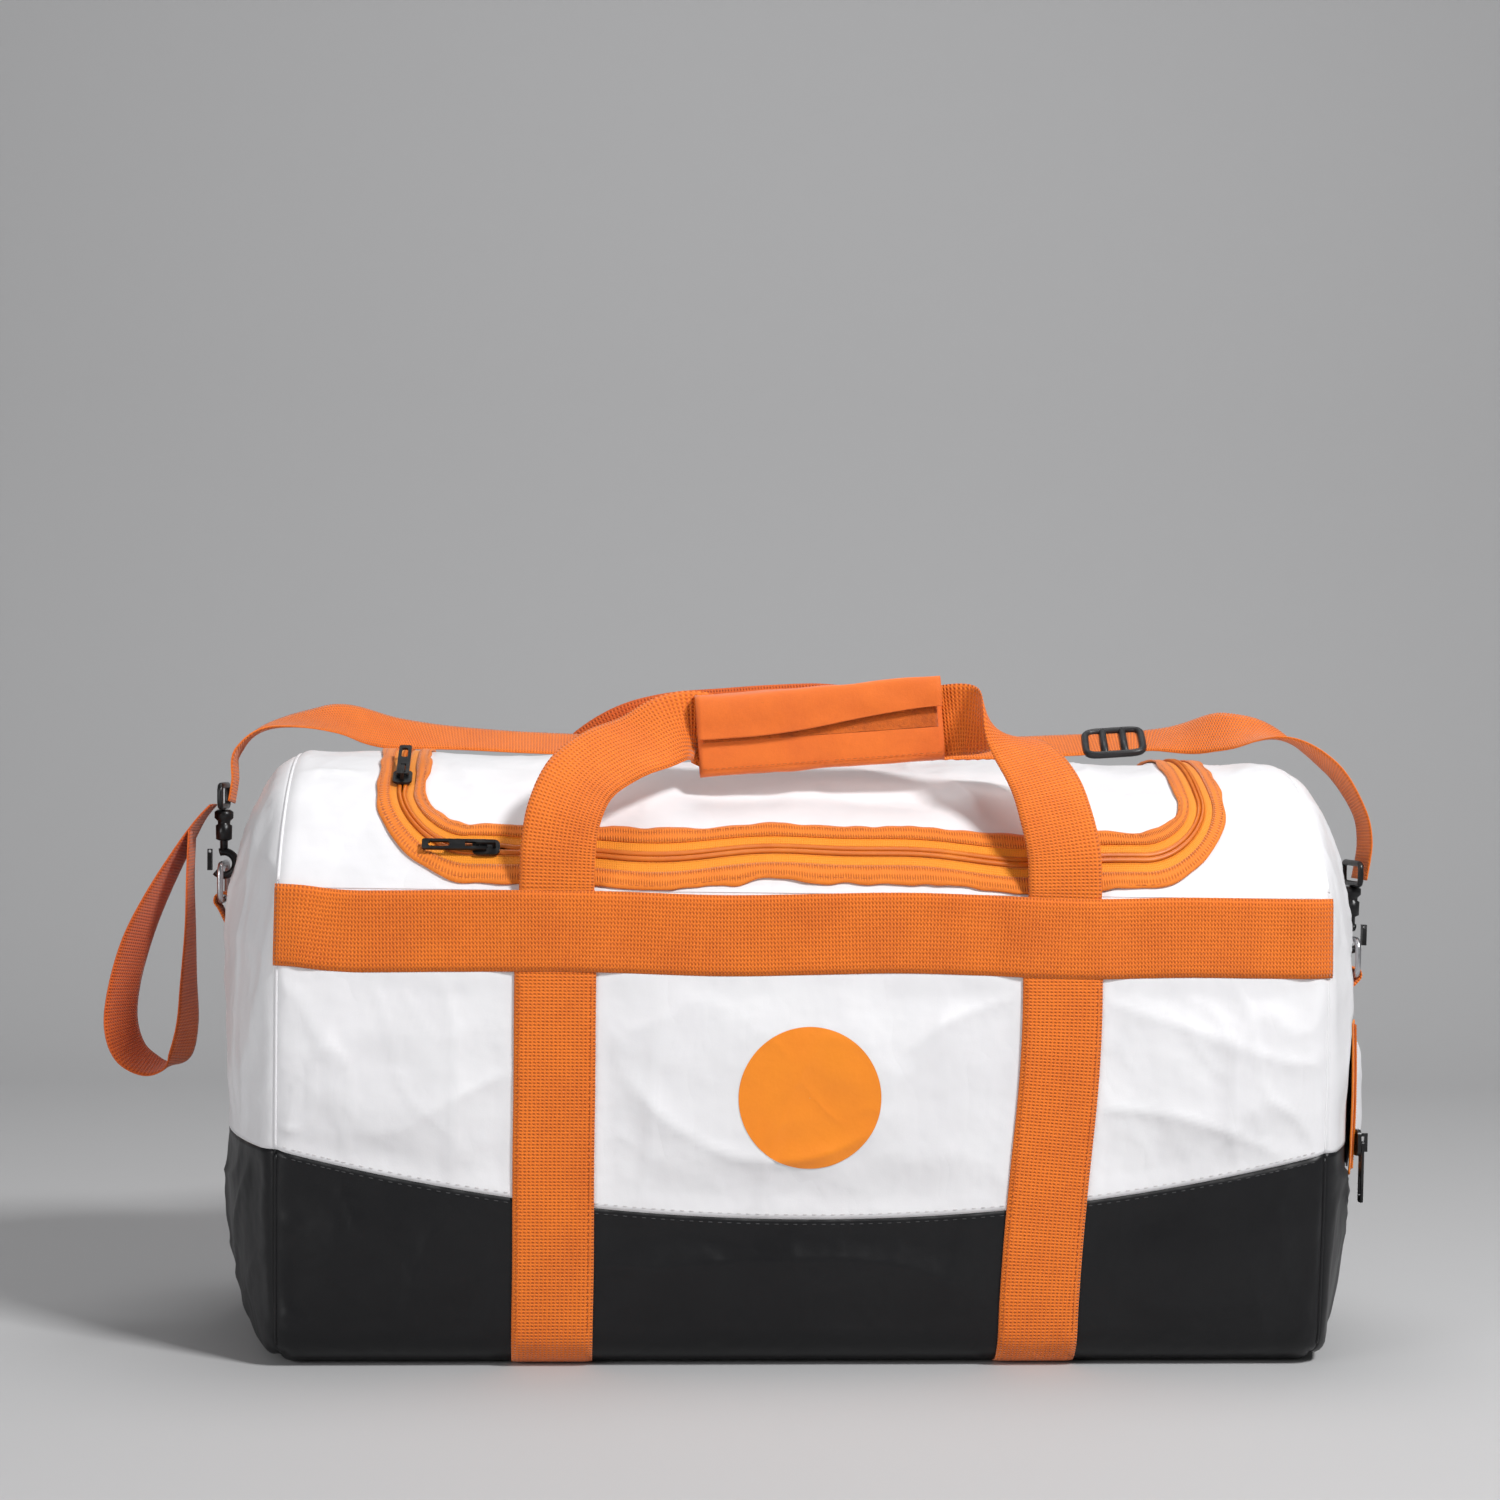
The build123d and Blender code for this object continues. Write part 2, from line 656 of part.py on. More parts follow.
def ring_set(end, name, ring_z):
    """Tab, D-ring, hook and gate at one end; ring_z is the height of the ring's top bar."""
    x = end * ring_reach(ring_z)
    bar_z = ring_z - ring_height
    tab_root = end * (end_profile(bar_z - tab_length) + 0.2)
    with BuildPart() as tab:
        with BuildSketch(Plane.XZ.offset(-tab_half_width)):
            with BuildLine():
                Polyline(
                    (tab_root, bar_z - tab_length),
                    (tab_root, bar_z + tab_lip),
                    (x + end * tab_lip, bar_z + tab_lip),
                    (x + end * tab_lip, bar_z - tab_lip),
                    close=True,
                )
            make_face()
            with Locations((x, bar_z)):
                Circle(ring_wire + pin_gap, mode=Mode.SUBTRACT)
        extrude(amount=2 * tab_half_width)
    save(tab, f"{name}_ring_tab")
    with BuildPart() as ring:
        with BuildLine(Plane.YZ.offset(x)) as path:
            FilletPolyline(
                (ring_half_width, bar_z),
                (ring_half_width, ring_z),
                (-ring_half_width, ring_z),
                (-ring_half_width, bar_z),
                radius=ring_height / 4,
                close=True,
            )
        with BuildSketch(Plane(origin=path.line @ 0, z_dir=path.line % 0)):
            Circle(ring_wire)
        sweep(path=path.line)
    save(ring, f"{name}_ring")
    pivot_x = x + end * (hook_outer - gate_thickness / 2)
    pivot_z = ring_z + hook_inner + pin_rise
    shank_top = ring_z + hook_outer + shank_length
    with BuildPart() as hook:
        with BuildSketch(Plane.XZ):
            with Locations((x, ring_z)):
                Circle(hook_outer)
            with Locations((x, (ring_z + hook_inner + shank_top) / 2)):
                Rectangle(hook_outer, shank_top - ring_z - hook_inner)
            with Locations((x, ring_z + hook_inner + cheek_height / 2)):
                Rectangle(2 * hook_outer, cheek_height)
            with Locations((x, ring_z)):
                Circle(hook_inner, mode=Mode.SUBTRACT)
        extrude(amount=hook_depth / 2, both=True)
        with BuildSketch(Plane.XZ):
            with Locations((pivot_x - end / 2, ring_z + gate_thickness / 2)):
                Rectangle(channel_width, gate_channel)
        extrude(amount=gate_depth / 2 + channel_side, both=True, mode=Mode.SUBTRACT)
        with BuildSketch(Plane.XZ):
            with Locations((pivot_x, ring_z)):
                Rectangle(channel_width, gate_mouth)
        extrude(amount=hook_depth, both=True, mode=Mode.SUBTRACT)
        with BuildSketch(Plane.XZ):
            with Locations((pivot_x, pivot_z)):
                Circle(pin_radius)
        extrude(amount=hook_depth / 2, both=True)
        with BuildSketch(Plane.XY.offset(shank_top)):
            with Locations((x, 0)):
                Circle(swivel_radius)
        extrude(amount=eye_wire)
        with BuildSketch(Plane.YZ.offset(x)):
            with Locations((0, shank_top + eye_wire + eye_height / 2)):
                RectangleRounded(2 * eye_half_width, eye_height, eye_corner)
                RectangleRounded(
                    2 * eye_half_width - 2 * eye_wire,
                    eye_height - 2 * eye_wire,
                    eye_corner / 4,
                    mode=Mode.SUBTRACT,
                )
        extrude(amount=eye_wire / 2, both=True)
    save(hook, f"{name}_hook")
    with BuildPart() as gate:
        with BuildSketch(Plane.XZ):
            with Locations((pivot_x, pivot_z + gate_thickness / 2 - gate_length / 2)):
                Rectangle(gate_thickness, gate_length)
            with Locations((pivot_x, pivot_z)):
                Circle(pin_radius + pin_gap, mode=Mode.SUBTRACT)
        extrude(amount=gate_depth / 2, both=True)
    save(gate, f"{name}_hook_gate")


ring_set(-1, "left", left_ring_z)
ring_set(1, "right", right_ring_z)


# Shoulder strap: webbing on edge behind the crest, from one hook over the bag to the other.
# Each station gives the middle of the strap and the direction of its width.

left_eye_z = left_ring_z + hook_outer + shank_length + eye_wire + eye_height / 2
right_eye_z = right_ring_z + hook_outer + shank_length + eye_wire + eye_height / 2
eye_side = 5.0               # the strap is sewn on just outside each hook's eye
left_ring_x = ring_reach(left_ring_z)
right_ring_x = ring_reach(right_ring_z)
strap_stations = [
    ((-left_ring_x + eye_side, 0, left_eye_z), (0, 1, 0)),
    ((-370, 3, 376), (0, 1, 0)),
    ((-350, 14, 397), (0.15, 0.97, 0.15)),
    ((-310, 44, 404), (0.4, 0.85, 0.3)),
    ((-264, 84, 394), (0.3, 0.68, 0.66)),
    ((-200, 96, 383), (0.05, 0.61, 0.79)),
    ((-60, 96, 378), (0, 0.6, 0.8)),
    ((80, 97, 380), (0, 0.6, 0.8)),
    ((204, 96, 387), (0, 0.6, 0.8)),
    ((264, 86, 395), (0, 0.6, 0.8)),
    ((306, 60, 403), (-0.35, 0.82, 0.4)),
    ((344, 30, 401), (-0.3, 0.93, 0.15)),
    ((372, 10, 384), (-0.1, 1, 0)),
    ((387, 2, 356), (0, 1, 0)),
    ((392, 0, 330), (0, 1, 0)),
    ((right_ring_x + eye_side, 0, right_eye_z), (0, 1, 0)),
]


def strap_section(index):
    """Rectangle across the strap at one station, square to the line through its neighbours."""
    middle, width = strap_stations[index]
    before = Vector(strap_stations[max(index - 1, 0)][0])
    after = Vector(strap_stations[min(index + 1, len(strap_stations) - 1)][0])
    along = (after - before).normalized()
    across = Vector(width)
    across = (across - along * across.dot(along)).normalized()
    with BuildSketch(Plane(origin=middle, x_dir=across, z_dir=along)) as section:
        Rectangle(shoulder_width, webbing)
    return section.sketch


with BuildPart() as shoulder_strap:
    for index in range(len(strap_stations) - 1):
        loft(sections=[strap_section(index), strap_section(index + 1)], ruled=True)
save(shoulder_strap, "shoulder_strap")

# The strap's spare length hangs in a loop at the left end
loop_points = [
    (-left_ring_x - 7, left_eye_z - 5),
    (-404, 308),
    (-428, 262),
    (-446, 212),
    (-438, 178),
    (-416, 168),
    (-400, 190),
    (-396, 250),
    (-395, 308),
]
with BuildPart() as strap_loop:
    with BuildLine(Plane.XZ) as path:
        Spline(*loop_points)
    with BuildSketch(Plane(origin=path.line @ 0, x_dir=(0, 1, 0), z_dir=path.line % 0)):
        Rectangle(shoulder_width, webbing)
    sweep(path=path.line)
save(strap_loop, "strap_loop")

# Adjuster frame round the strap, half way between two of its stations
adjuster_station = 8
adjuster_length = 44.0
adjuster_wall = 3.0
adjuster_from = Vector(strap_stations[adjuster_station][0])
adjuster_to = Vector(strap_stations[adjuster_station + 1][0])
adjuster_plane = Plane(
    origin=(adjuster_from + adjuster_to) * 0.5,
    x_dir=Vector(strap_stations[adjuster_station][1]),
    z_dir=adjuster_to - adjuster_from,
)
with BuildPart() as adjuster:
    with BuildSketch(adjuster_plane):
        Rectangle(shoulder_width + 3 * adjuster_wall, webbing + 2 * adjuster_wall)
        Rectangle(shoulder_width + adjuster_wall, webbing + adjuster_wall, mode=Mode.SUBTRACT)
    extrude(amount=adjuster_length / 2, both=True)
save(adjuster, "strap_adjuster")


# Printed mark on the front: a plain disc, no thicker than paint
mark_z = 170.0
mark_radius = 44.0
mark_thickness = 0.4
with BuildPart() as mark_skin:
    bag_body(mark_thickness, floor_lift)

with BuildPart() as front_mark:
    shell(mark_skin, outer_body)
    with BuildSketch(wall_region(-1)):
        with Locations((0, mark_z)):
            Circle(mark_radius)
    extrude(amount=reach / 2, mode=Mode.INTERSECT)
save(front_mark, "front_mark")
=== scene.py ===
import bpy
import math
from mathutils import Matrix, Vector, noise


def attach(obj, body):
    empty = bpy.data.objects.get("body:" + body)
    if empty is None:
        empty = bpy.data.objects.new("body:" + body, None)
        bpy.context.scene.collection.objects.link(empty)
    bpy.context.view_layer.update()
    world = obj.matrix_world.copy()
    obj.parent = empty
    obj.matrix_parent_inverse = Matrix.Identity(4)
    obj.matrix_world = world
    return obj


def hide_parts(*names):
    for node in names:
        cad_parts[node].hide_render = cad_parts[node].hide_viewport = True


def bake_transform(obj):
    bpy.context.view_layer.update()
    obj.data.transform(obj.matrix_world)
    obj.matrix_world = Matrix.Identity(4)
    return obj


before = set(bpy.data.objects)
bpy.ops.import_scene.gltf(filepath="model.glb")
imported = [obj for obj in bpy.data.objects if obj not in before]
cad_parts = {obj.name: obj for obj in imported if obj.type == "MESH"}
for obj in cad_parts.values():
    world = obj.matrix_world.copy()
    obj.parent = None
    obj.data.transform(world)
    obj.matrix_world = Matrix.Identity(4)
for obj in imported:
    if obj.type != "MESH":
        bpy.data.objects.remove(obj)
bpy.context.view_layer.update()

# Sports duffel bag. Lengths in this script are millimetres until a mesh is made.
# X runs along the bag, Y from front (-) to back (+), Z up.

MM = 0.001
HALF_LENGTH = 330.0
HALF_DEPTH = 155.0
WALL_BULGE = 5.0
END_BULGE = 40.0
END_FOOT = 22.0
END_BROW = 5.0
CLOTH = 3.0
WEB_THICK = 1.8
EDGE_TOP = 296.0
CREST = 380.0
BASE_RADIUS = 28.0
SEAM_MIDDLE = 94.0
SEAM_END = 136.0
STRAP_X = 157.0
WEB = 50.0
SHOULDER_WEB = 38.0
STRAP_LEAN = 11.0
GRIP_Y = -88.0
TUCK = 0.5
PUFF_FOOT = 12.0
SHOULDER_Y = 98.0
BAND_MIDDLE = 271.0
LID_HALF = 255.0
LID_FRONT = -137.0
LID_BACK = 60.0
LID_CORNER = 45.0
CORNER = 13.0
DOME_RADIUS = (HALF_DEPTH**2 + (CREST - EDGE_TOP) ** 2) / (2 * (CREST - EDGE_TOP))
DOME_Z = CREST - DOME_RADIUS
WALLS = ((-1, "front"), (1, "rear"))
ENDS = ((-1, "left"), (1, "right"))


def put(name, data):
    """New object in the scene."""
    item = bpy.data.objects.new(name, data)
    bpy.context.scene.collection.objects.link(item)
    return item


# Camera

def place_camera():
    """Long lens from just left of the front, a little above the middle of the bag."""
    distance, rise, turn, roll = 1.932, math.radians(3.25), math.radians(4.72), math.radians(0.87)
    aim = Vector((0.010, 0, 0.270))
    away = Vector((-math.sin(turn) * math.cos(rise), -math.cos(turn) * math.cos(rise), math.sin(rise)))
    right = (-away).cross(Vector((0, 0, 1))).normalized()
    up = right.cross(-away)
    side = right * math.cos(roll) + up * math.sin(roll)
    top = up * math.cos(roll) - right * math.sin(roll)
    data = bpy.data.cameras.new("camera")
    data.sensor_width = 36
    data.lens = 69.1
    data.shift_x = -0.038
    data.shift_y = 0.114
    data.clip_start = 0.05
    data.clip_end = 60
    camera = put("camera", data)
    rows = Matrix((side, top, away)).transposed().to_4x4()
    camera.matrix_world = Matrix.Translation(aim + away * distance) @ rows
    bpy.context.scene.camera = camera


place_camera()


# Small helpers

def clamp(value, low=0.0, high=1.0):
    return max(low, min(high, value))


def smooth(value):
    value = clamp(value)
    return value * value * (3 - 2 * value)


def mix(a, b, t):
    return a + (b - a) * t


def circle(count):
    """Cosine and sine at equal steps round a circle."""
    turns = [2 * math.pi * k / count for k in range(count)]
    return [(math.cos(a), math.sin(a)) for a in turns]


def rough(x, y, z, size):
    """Smooth noise, about -1 to 1, with features of the given size."""
    return noise.noise(Vector((x, y, z)) / size) * 1.7


def crease(x, y, z, size):
    """0 to 1, with narrow ridges like the folds of stiff coated cloth."""
    return (1 - min(1, abs(rough(x, y, z, size)) * 1.6)) ** 3


# The bag's surface

def dome(y):
    return DOME_Z + math.sqrt(max(1.0, DOME_RADIUS**2 - y * y))


def wall_depth(z):
    """Distance of the front or rear wall from the middle plane, at a height."""
    if z < BASE_RADIUS:
        drop = BASE_RADIUS - max(z, 0)
        return HALF_DEPTH - BASE_RADIUS + math.sqrt(max(0, BASE_RADIUS**2 - drop**2))
    t = (z - (EDGE_TOP + BASE_RADIUS) / 2) / ((EDGE_TOP - BASE_RADIUS) / 2)
    return HALF_DEPTH + WALL_BULGE * max(0, 1 - t * t)


def circle_through(a, b, c):
    """Centre and radius of the circle through three points of a plane."""
    ax, az = b[0] - a[0], b[1] - a[1]
    cx, cz = c[0] - a[0], c[1] - a[1]
    twice = 2 * (ax * cz - az * cx)
    ka, kc = ax * ax + az * az, cx * cx + cz * cz
    x, z = a[0] + (cz * ka - az * kc) / twice, a[1] + (ax * kc - cx * ka) / twice
    return x, z, math.hypot(a[0] - x, a[1] - z)


PROFILE = circle_through(
    (HALF_LENGTH + END_FOOT, -WEB_THICK),
    (HALF_LENGTH + END_BULGE + 5, EDGE_TOP / 2),
    (HALF_LENGTH + END_BROW, CREST + CLOTH),
)


def end_profile(z):
    """Reach of the bag's ends in front view, at a height."""
    x, mid, radius = PROFILE
    return min(HALF_LENGTH + END_BULGE, x + math.sqrt(radius**2 - (z - mid) ** 2))


def end_reach(y, z=EDGE_TOP / 2):
    """Reach of an end. It swells like a pillow between the corner seams and the top seam."""
    deep = wall_depth(clamp(z, 0, EDGE_TOP))
    top = dome(clamp(abs(y), 0, HALF_DEPTH))
    across = max(0, 1 - (y / deep) ** 2)
    under = math.sin(math.pi / 2 * clamp((top - z) / 120)) ** 0.8
    foot = END_FOOT / END_BULGE
    above = foot + (1 - foot) * math.sin(math.pi / 2 * clamp(z / 110))
    return HALF_LENGTH + END_BULGE * across * under * above


def seam_height(x):
    rise = SEAM_END - SEAM_MIDDLE
    edge = HALF_LENGTH - 4
    radius = (edge**2 + rise**2) / (2 * rise)
    return SEAM_MIDDLE + radius - math.sqrt(radius**2 - min(abs(x), edge) ** 2)


def ease_corner(a, b):
    """Takes two distances beyond a rounding's start and bends their square corner round."""
    if a <= 0 or b <= 0:
        return a, b
    scale = max(a, b) / math.hypot(a, b)
    return a * scale, b * scale


def soften(point):
    """Rounds the edges all round the bag's ends."""
    x, y, z = point
    sx = 1 if x >= 0 else -1
    sy = 1 if y >= 0 else -1
    if z < EDGE_TOP:
        inside = wall_depth(z) - abs(y)
        turn = smooth((z - EDGE_TOP + 26) / 26)
        rise = turn * (EDGE_TOP - DOME_Z) / DOME_RADIUS
        out = Vector((0, sy * mix(1, HALF_DEPTH / DOME_RADIUS, turn), rise))
    else:
        inside = DOME_RADIUS - math.hypot(y, z - DOME_Z)
        out = Vector((0, y, z - DOME_Z))
    far = end_reach(y, z)
    from_end, from_side = abs(x) - (far - CORNER), CORNER - inside
    a, b = ease_corner(from_end, from_side)
    spot = Vector((x + sx * (a - from_end), y, z)) + out.normalized() * (b - from_side)
    if spot.z < CORNER:
        far = end_reach(y, 0)
        from_end, from_floor = abs(spot.x) - (far - CORNER), CORNER - spot.z
        a, b = ease_corner(from_end, from_floor)
        spot.x += sx * (a - from_end)
        spot.z = CORNER - b
    return spot


def strap_lean(end, z):
    """The right-hand strap leans towards the middle near the base."""
    return -STRAP_LEAN * smooth((230 - z) / 200) if end > 0 else 0.0


def strap_distance(x, z):
    """Distance from the nearest edge of the two upright straps, below 0 under one."""
    return min(abs(x - end * STRAP_X - strap_lean(end, z)) - WEB / 2 for end in (-1, 1))


def wall_puff(side, x, z):
    """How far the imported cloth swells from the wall, outward."""
    seam = seam_height(x)
    base = z < seam
    low, high = (PUFF_FOOT, seam) if base else (seam, BAND_MIDDLE - WEB / 2)
    corner, gap = HALF_LENGTH - abs(x), strap_distance(x, z)
    if z > high:
        return -0.4 * smooth((z - high) / 4) * smooth(corner / 16)
    hold = smooth((gap + 1) / 55)
    hold *= smooth((high - z) / 45) * smooth((z - low) / 45) * smooth(corner / 50)
    loose = smooth((gap + 2) / 14) * smooth((high - z) / 16)
    loose *= smooth((z - low) / 16) * smooth(corner / 16)
    ends = smooth((abs(x) - 190) / 120)
    seed = 31.0 * side + (400 if base else 0)
    folds = crease(x, seed, z * 0.35, 62) * mix(0.5, 1.0, ends)
    folds += 0.8 * crease(x * 0.5 + z * 0.6, seed + 77, z * 0.8 - x * 0.3, 85)
    ripple = rough(x, seed + 9, z, 38) * 0.9 + rough(x, seed + 5, z, 16) * 0.28
    sharp = crease(x + 0.3 * z, seed + 21, z * 0.5, 34) ** 2 * mix(0.35, 1.3, ends)
    return 4.6 * hold + loose * (2.8 * folds - 1.5 + ripple + 1.2 * sharp)


def wall_point(side, x, z):
    """side is -1 for the front and 1 for the rear."""
    edge = soften((x, side * wall_depth(min(z, EDGE_TOP)), z))
    if z <= EDGE_TOP:
        edge.y += side * wall_puff(side, x, z)
    return edge


def end_puff(end, y, z):
    low, high = (PUFF_FOOT, SEAM_END) if z <= SEAM_END else (SEAM_END, dome(min(abs(y), HALF_DEPTH)))
    side = HALF_DEPTH - abs(y)
    hold = smooth((high - z) / 40) * smooth((z - low) / 40) * smooth(side / 45)
    loose = smooth((high - z) / 14) * smooth((z - low) / 14) * smooth(side / 14)
    seed = 900 + 50 * end + (300 if z < SEAM_END else 0)
    folds = crease(y, seed, z * 0.4, 58) + 0.7 * crease(y * 0.6 + z * 0.5, seed + 31, z - y * 0.4, 74)
    limit = 0.25 if end > 0 and 112 < z < 218 and -116 < y < 100 else 1.0
    return limit * (2.5 * hold + loose * (2.4 * folds - 1.3 + 0.9 * rough(y, seed, z, 34)))


def end_point(end, y, z):
    spot = soften((end * end_reach(y, z), y, z))
    spot.x += end * end_puff(end, y, z)
    return spot


def top_puff(x, y):
    """Sag and folds of the dome. The cloth stays low under the grip."""
    slack = smooth((HALF_LENGTH - abs(x)) / 30) * smooth((HALF_DEPTH - abs(y)) / 22)
    folds = crease(x * 0.45, 5, y, 70) + 0.8 * crease(x, 55 + y * 0.5, y * 0.35, 90)
    lift = 2.6 * folds - 2.2 + 1.3 * rough(x, 71, y, 52) + 0.5 * rough(x, 17, y, 22)
    near_grip = smooth((110 - abs(x)) / 40) * smooth((150 - abs(y - GRIP_Y)) / 90)
    under_strap = smooth((20 - abs(y - SHOULDER_Y)) / 12)
    lift = mix(lift, min(lift, -0.6), max(near_grip, under_strap))
    return slack * (lift - 3.2 * near_grip)


def dome_out(y):
    """Outward direction of the dome."""
    return Vector((0, y, dome(y) - DOME_Z)).normalized()


# Line of the zip. It runs from the rear left corner of the lid, round the front, to the
# rear right corner, and its length along the way is measured from its start.

SIDE_RUN = LID_BACK - (LID_FRONT + LID_CORNER)
BEND_RUN = LID_CORNER * math.pi / 2
FRONT_RUN = 2 * (LID_HALF - LID_CORNER)
ZIP_RUN = 2 * SIDE_RUN + 2 * BEND_RUN + FRONT_RUN


def zip_plan(s):
    """Point of the coil's line in plan and its outward direction, at a distance along it."""
    centre_x, centre_y = LID_HALF - LID_CORNER, LID_FRONT + LID_CORNER
    def bend(side, angle):
        c, n = math.cos(angle), math.sin(angle)
        return side * centre_x + LID_CORNER * c, centre_y + LID_CORNER * n, c, n
    if s < SIDE_RUN:
        return -LID_HALF, LID_BACK - s, -1.0, 0.0
    s -= SIDE_RUN
    if s < BEND_RUN:
        return bend(-1, math.pi + s / LID_CORNER)
    s -= BEND_RUN
    if s < FRONT_RUN:
        return -centre_x + s, LID_FRONT, 0.0, -1.0
    s -= FRONT_RUN
    if s < BEND_RUN:
        return bend(1, s / LID_CORNER - math.pi / 2)
    return LID_HALF, centre_y + (s - BEND_RUN), 1.0, 0.0


FRONT_START = SIDE_RUN + BEND_RUN


def zip_wave(s):
    """The zip isn't pulled straight: it wanders a little in and out."""
    inside = smooth((s - FRONT_START - 40) / 60) * smooth((FRONT_START + FRONT_RUN - s) / 60)
    return 2.6 * inside * math.sin(s / 44.0 + 0.9) + 0.9 * inside * math.sin(s / 17.0)


def zip_point(s, offset, lift=0.0):
    """Point beside the coil: offset outward in plan, lift away from the cloth."""
    x, y, nx, ny = zip_plan(s)
    reach = offset + zip_wave(s)
    px, py = x + nx * reach, y + ny * reach
    py = clamp(py, -HALF_DEPTH + 0.3, HALF_DEPTH)
    puff = top_puff(px, py) * smooth((abs(offset) - 12) / 30)
    return Vector((px, py, dome(py))) + dome_out(py) * (puff + lift)


# Materials

def material(name, color, roughness, **extra):
    """New material, its tree, and its shader with values set on the shader's own sockets."""
    mat = bpy.data.materials.new(name)
    mat.use_nodes = True
    tree = mat.node_tree
    shader = tree.nodes["Principled BSDF"]
    shader.inputs["Base Color"].default_value = (*color, 1)
    shader.inputs["Roughness"].default_value = roughness
    for key, value in extra.items():
        shader.inputs[key.replace("_", " ")].default_value = value
    return mat, tree, shader


def node(tree, kind, **settings):
    made = tree.nodes.new(kind)
    for key, value in settings.items():
        made.inputs[key].default_value = value
    return made


def math_node(tree, operation, *values):
    made = tree.nodes.new("ShaderNodeMath")
    made.operation = operation
    for socket, value in zip(made.inputs, values):
        if isinstance(value, (int, float)):
            socket.default_value = value
        else:
            tree.links.new(value, socket)
    return made.outputs[0]


def times(tree, a, b):
    return math_node(tree, "MULTIPLY", a, b)


def plus(tree, a, b):
    return math_node(tree, "ADD", a, b)


def noise_node(tree, vector, scale, detail=3.0, rough_=0.55, stretch=None):
    if stretch:
        mapping = tree.nodes.new("ShaderNodeMapping")
        mapping.inputs["Scale"].default_value = stretch
        tree.links.new(vector, mapping.inputs["Vector"])
        vector = mapping.outputs["Vector"]
    made = node(tree, "ShaderNodeTexNoise", Scale=scale, Detail=detail, Roughness=rough_)
    tree.links.new(vector, made.inputs["Vector"])
    return made.outputs["Fac"]


def spread(tree, fac, low, high):
    """Maps 0..1 to low..high."""
    return plus(tree, times(tree, fac, high - low), low)


def vary(tree, shader, tint, stops, grain, low, high):
    """Drives the colour between two stops by tint, and the roughness from low to high by grain."""
    made = tree.nodes.new("ShaderNodeValToRGB")
    for element, (place, color) in zip(made.color_ramp.elements, stops):
        element.position = place
        element.color = (*color, 1)
    tree.links.new(tint, made.inputs["Fac"])
    tree.links.new(made.outputs["Color"], shader.inputs["Base Color"])
    tree.links.new(spread(tree, grain, low, high), shader.inputs["Roughness"])


def bump(tree, shader, height, strength, distance, under=None):
    made = node(tree, "ShaderNodeBump", Strength=strength, Distance=distance)
    tree.links.new(height, made.inputs["Height"])
    if under:
        tree.links.new(under, made.inputs["Normal"])
    tree.links.new(made.outputs["Normal"], shader.inputs["Normal"])
    return made.outputs["Normal"]


def places(tree):
    return tree.nodes.new("ShaderNodeTexCoord").outputs["Object"]


def coated_cloth(name, color, shade, roughness, coat, creases, **extra):
    """Coated cloth: fine grain, broad dents and a few pressed creases."""
    mat, tree, shader = material(name, color, roughness, Coat_Weight=coat, Coat_Roughness=0.35, **extra)
    at = places(tree)
    broad = noise_node(tree, at, 9.0, 4.0, 0.6)
    fine = noise_node(tree, at, 900.0, 2.0, 0.6)
    folds = noise_node(tree, at, 14.0, 3.0, 0.5, stretch=(1.0, 1.0, 0.45))
    vary(tree, shader, broad, [(0.25, shade), (0.65, color)], broad, roughness - 0.06, roughness + 0.1)
    ridge = math_node(tree, "ABSOLUTE", math_node(tree, "SUBTRACT", folds, 0.5))
    first = bump(tree, shader, ridge, creases, 0.012)
    second = bump(tree, shader, broad, creases * 0.7, 0.02, first)
    bump(tree, shader, fine, 0.12, 0.0004, second)
    return mat


def woven(name, light, dark, roughness, pitch_u, pitch_v, depth):
    """Webbing or tape. The weave follows the piece: U runs along it and V across, in metres."""
    mat, tree, shader = material(name, light, roughness, Sheen_Weight=0.25, Sheen_Roughness=0.4)
    uv = tree.nodes.new("ShaderNodeTexCoord").outputs["UV"]
    parts = tree.nodes.new("ShaderNodeSeparateXYZ")
    tree.links.new(uv, parts.inputs[0])
    along = math_node(tree, "SINE", times(tree, parts.outputs[0], 2 * math.pi / pitch_u))
    across = math_node(tree, "SINE", times(tree, parts.outputs[1], 2 * math.pi / pitch_v))
    over = times(tree, along, across)
    weft = spread(tree, along, 0.5, 0.85)
    weave = plus(tree, weft, times(tree, over, 0.35))
    at = places(tree)
    worn = noise_node(tree, at, 26.0, 5.0, 0.65)
    fuzz = noise_node(tree, at, 700.0, 3.0, 0.7)
    mixed = plus(tree, times(tree, weave, 0.42), times(tree, worn, 0.5))
    tint = plus(tree, mixed, times(tree, fuzz, 0.25))
    vary(tree, shader, tint, [(0.28, dark), (0.72, light)], fuzz, roughness - 0.08, roughness + 0.12)
    first = bump(tree, shader, weave, 0.85, depth)
    bump(tree, shader, fuzz, 0.25, 0.0003, first)
    return mat


def plain_cloth(name, light, dark, roughness, grain_size, depth):
    """Smooth woven cloth with a fine grain."""
    mat, tree, shader = material(name, light, roughness, Sheen_Weight=0.3)
    at = places(tree)
    broad = noise_node(tree, at, 30.0, 4.0, 0.6)
    fine = noise_node(tree, at, grain_size, 3.0, 0.7)
    both = plus(tree, times(tree, broad, 0.7), times(tree, fine, 0.3))
    vary(tree, shader, both, [(0.3, dark), (0.7, light)], fine, roughness - 0.05, roughness + 0.12)
    first = bump(tree, shader, broad, 0.35, 0.003)
    bump(tree, shader, fine, 0.5, depth, first)
    return mat


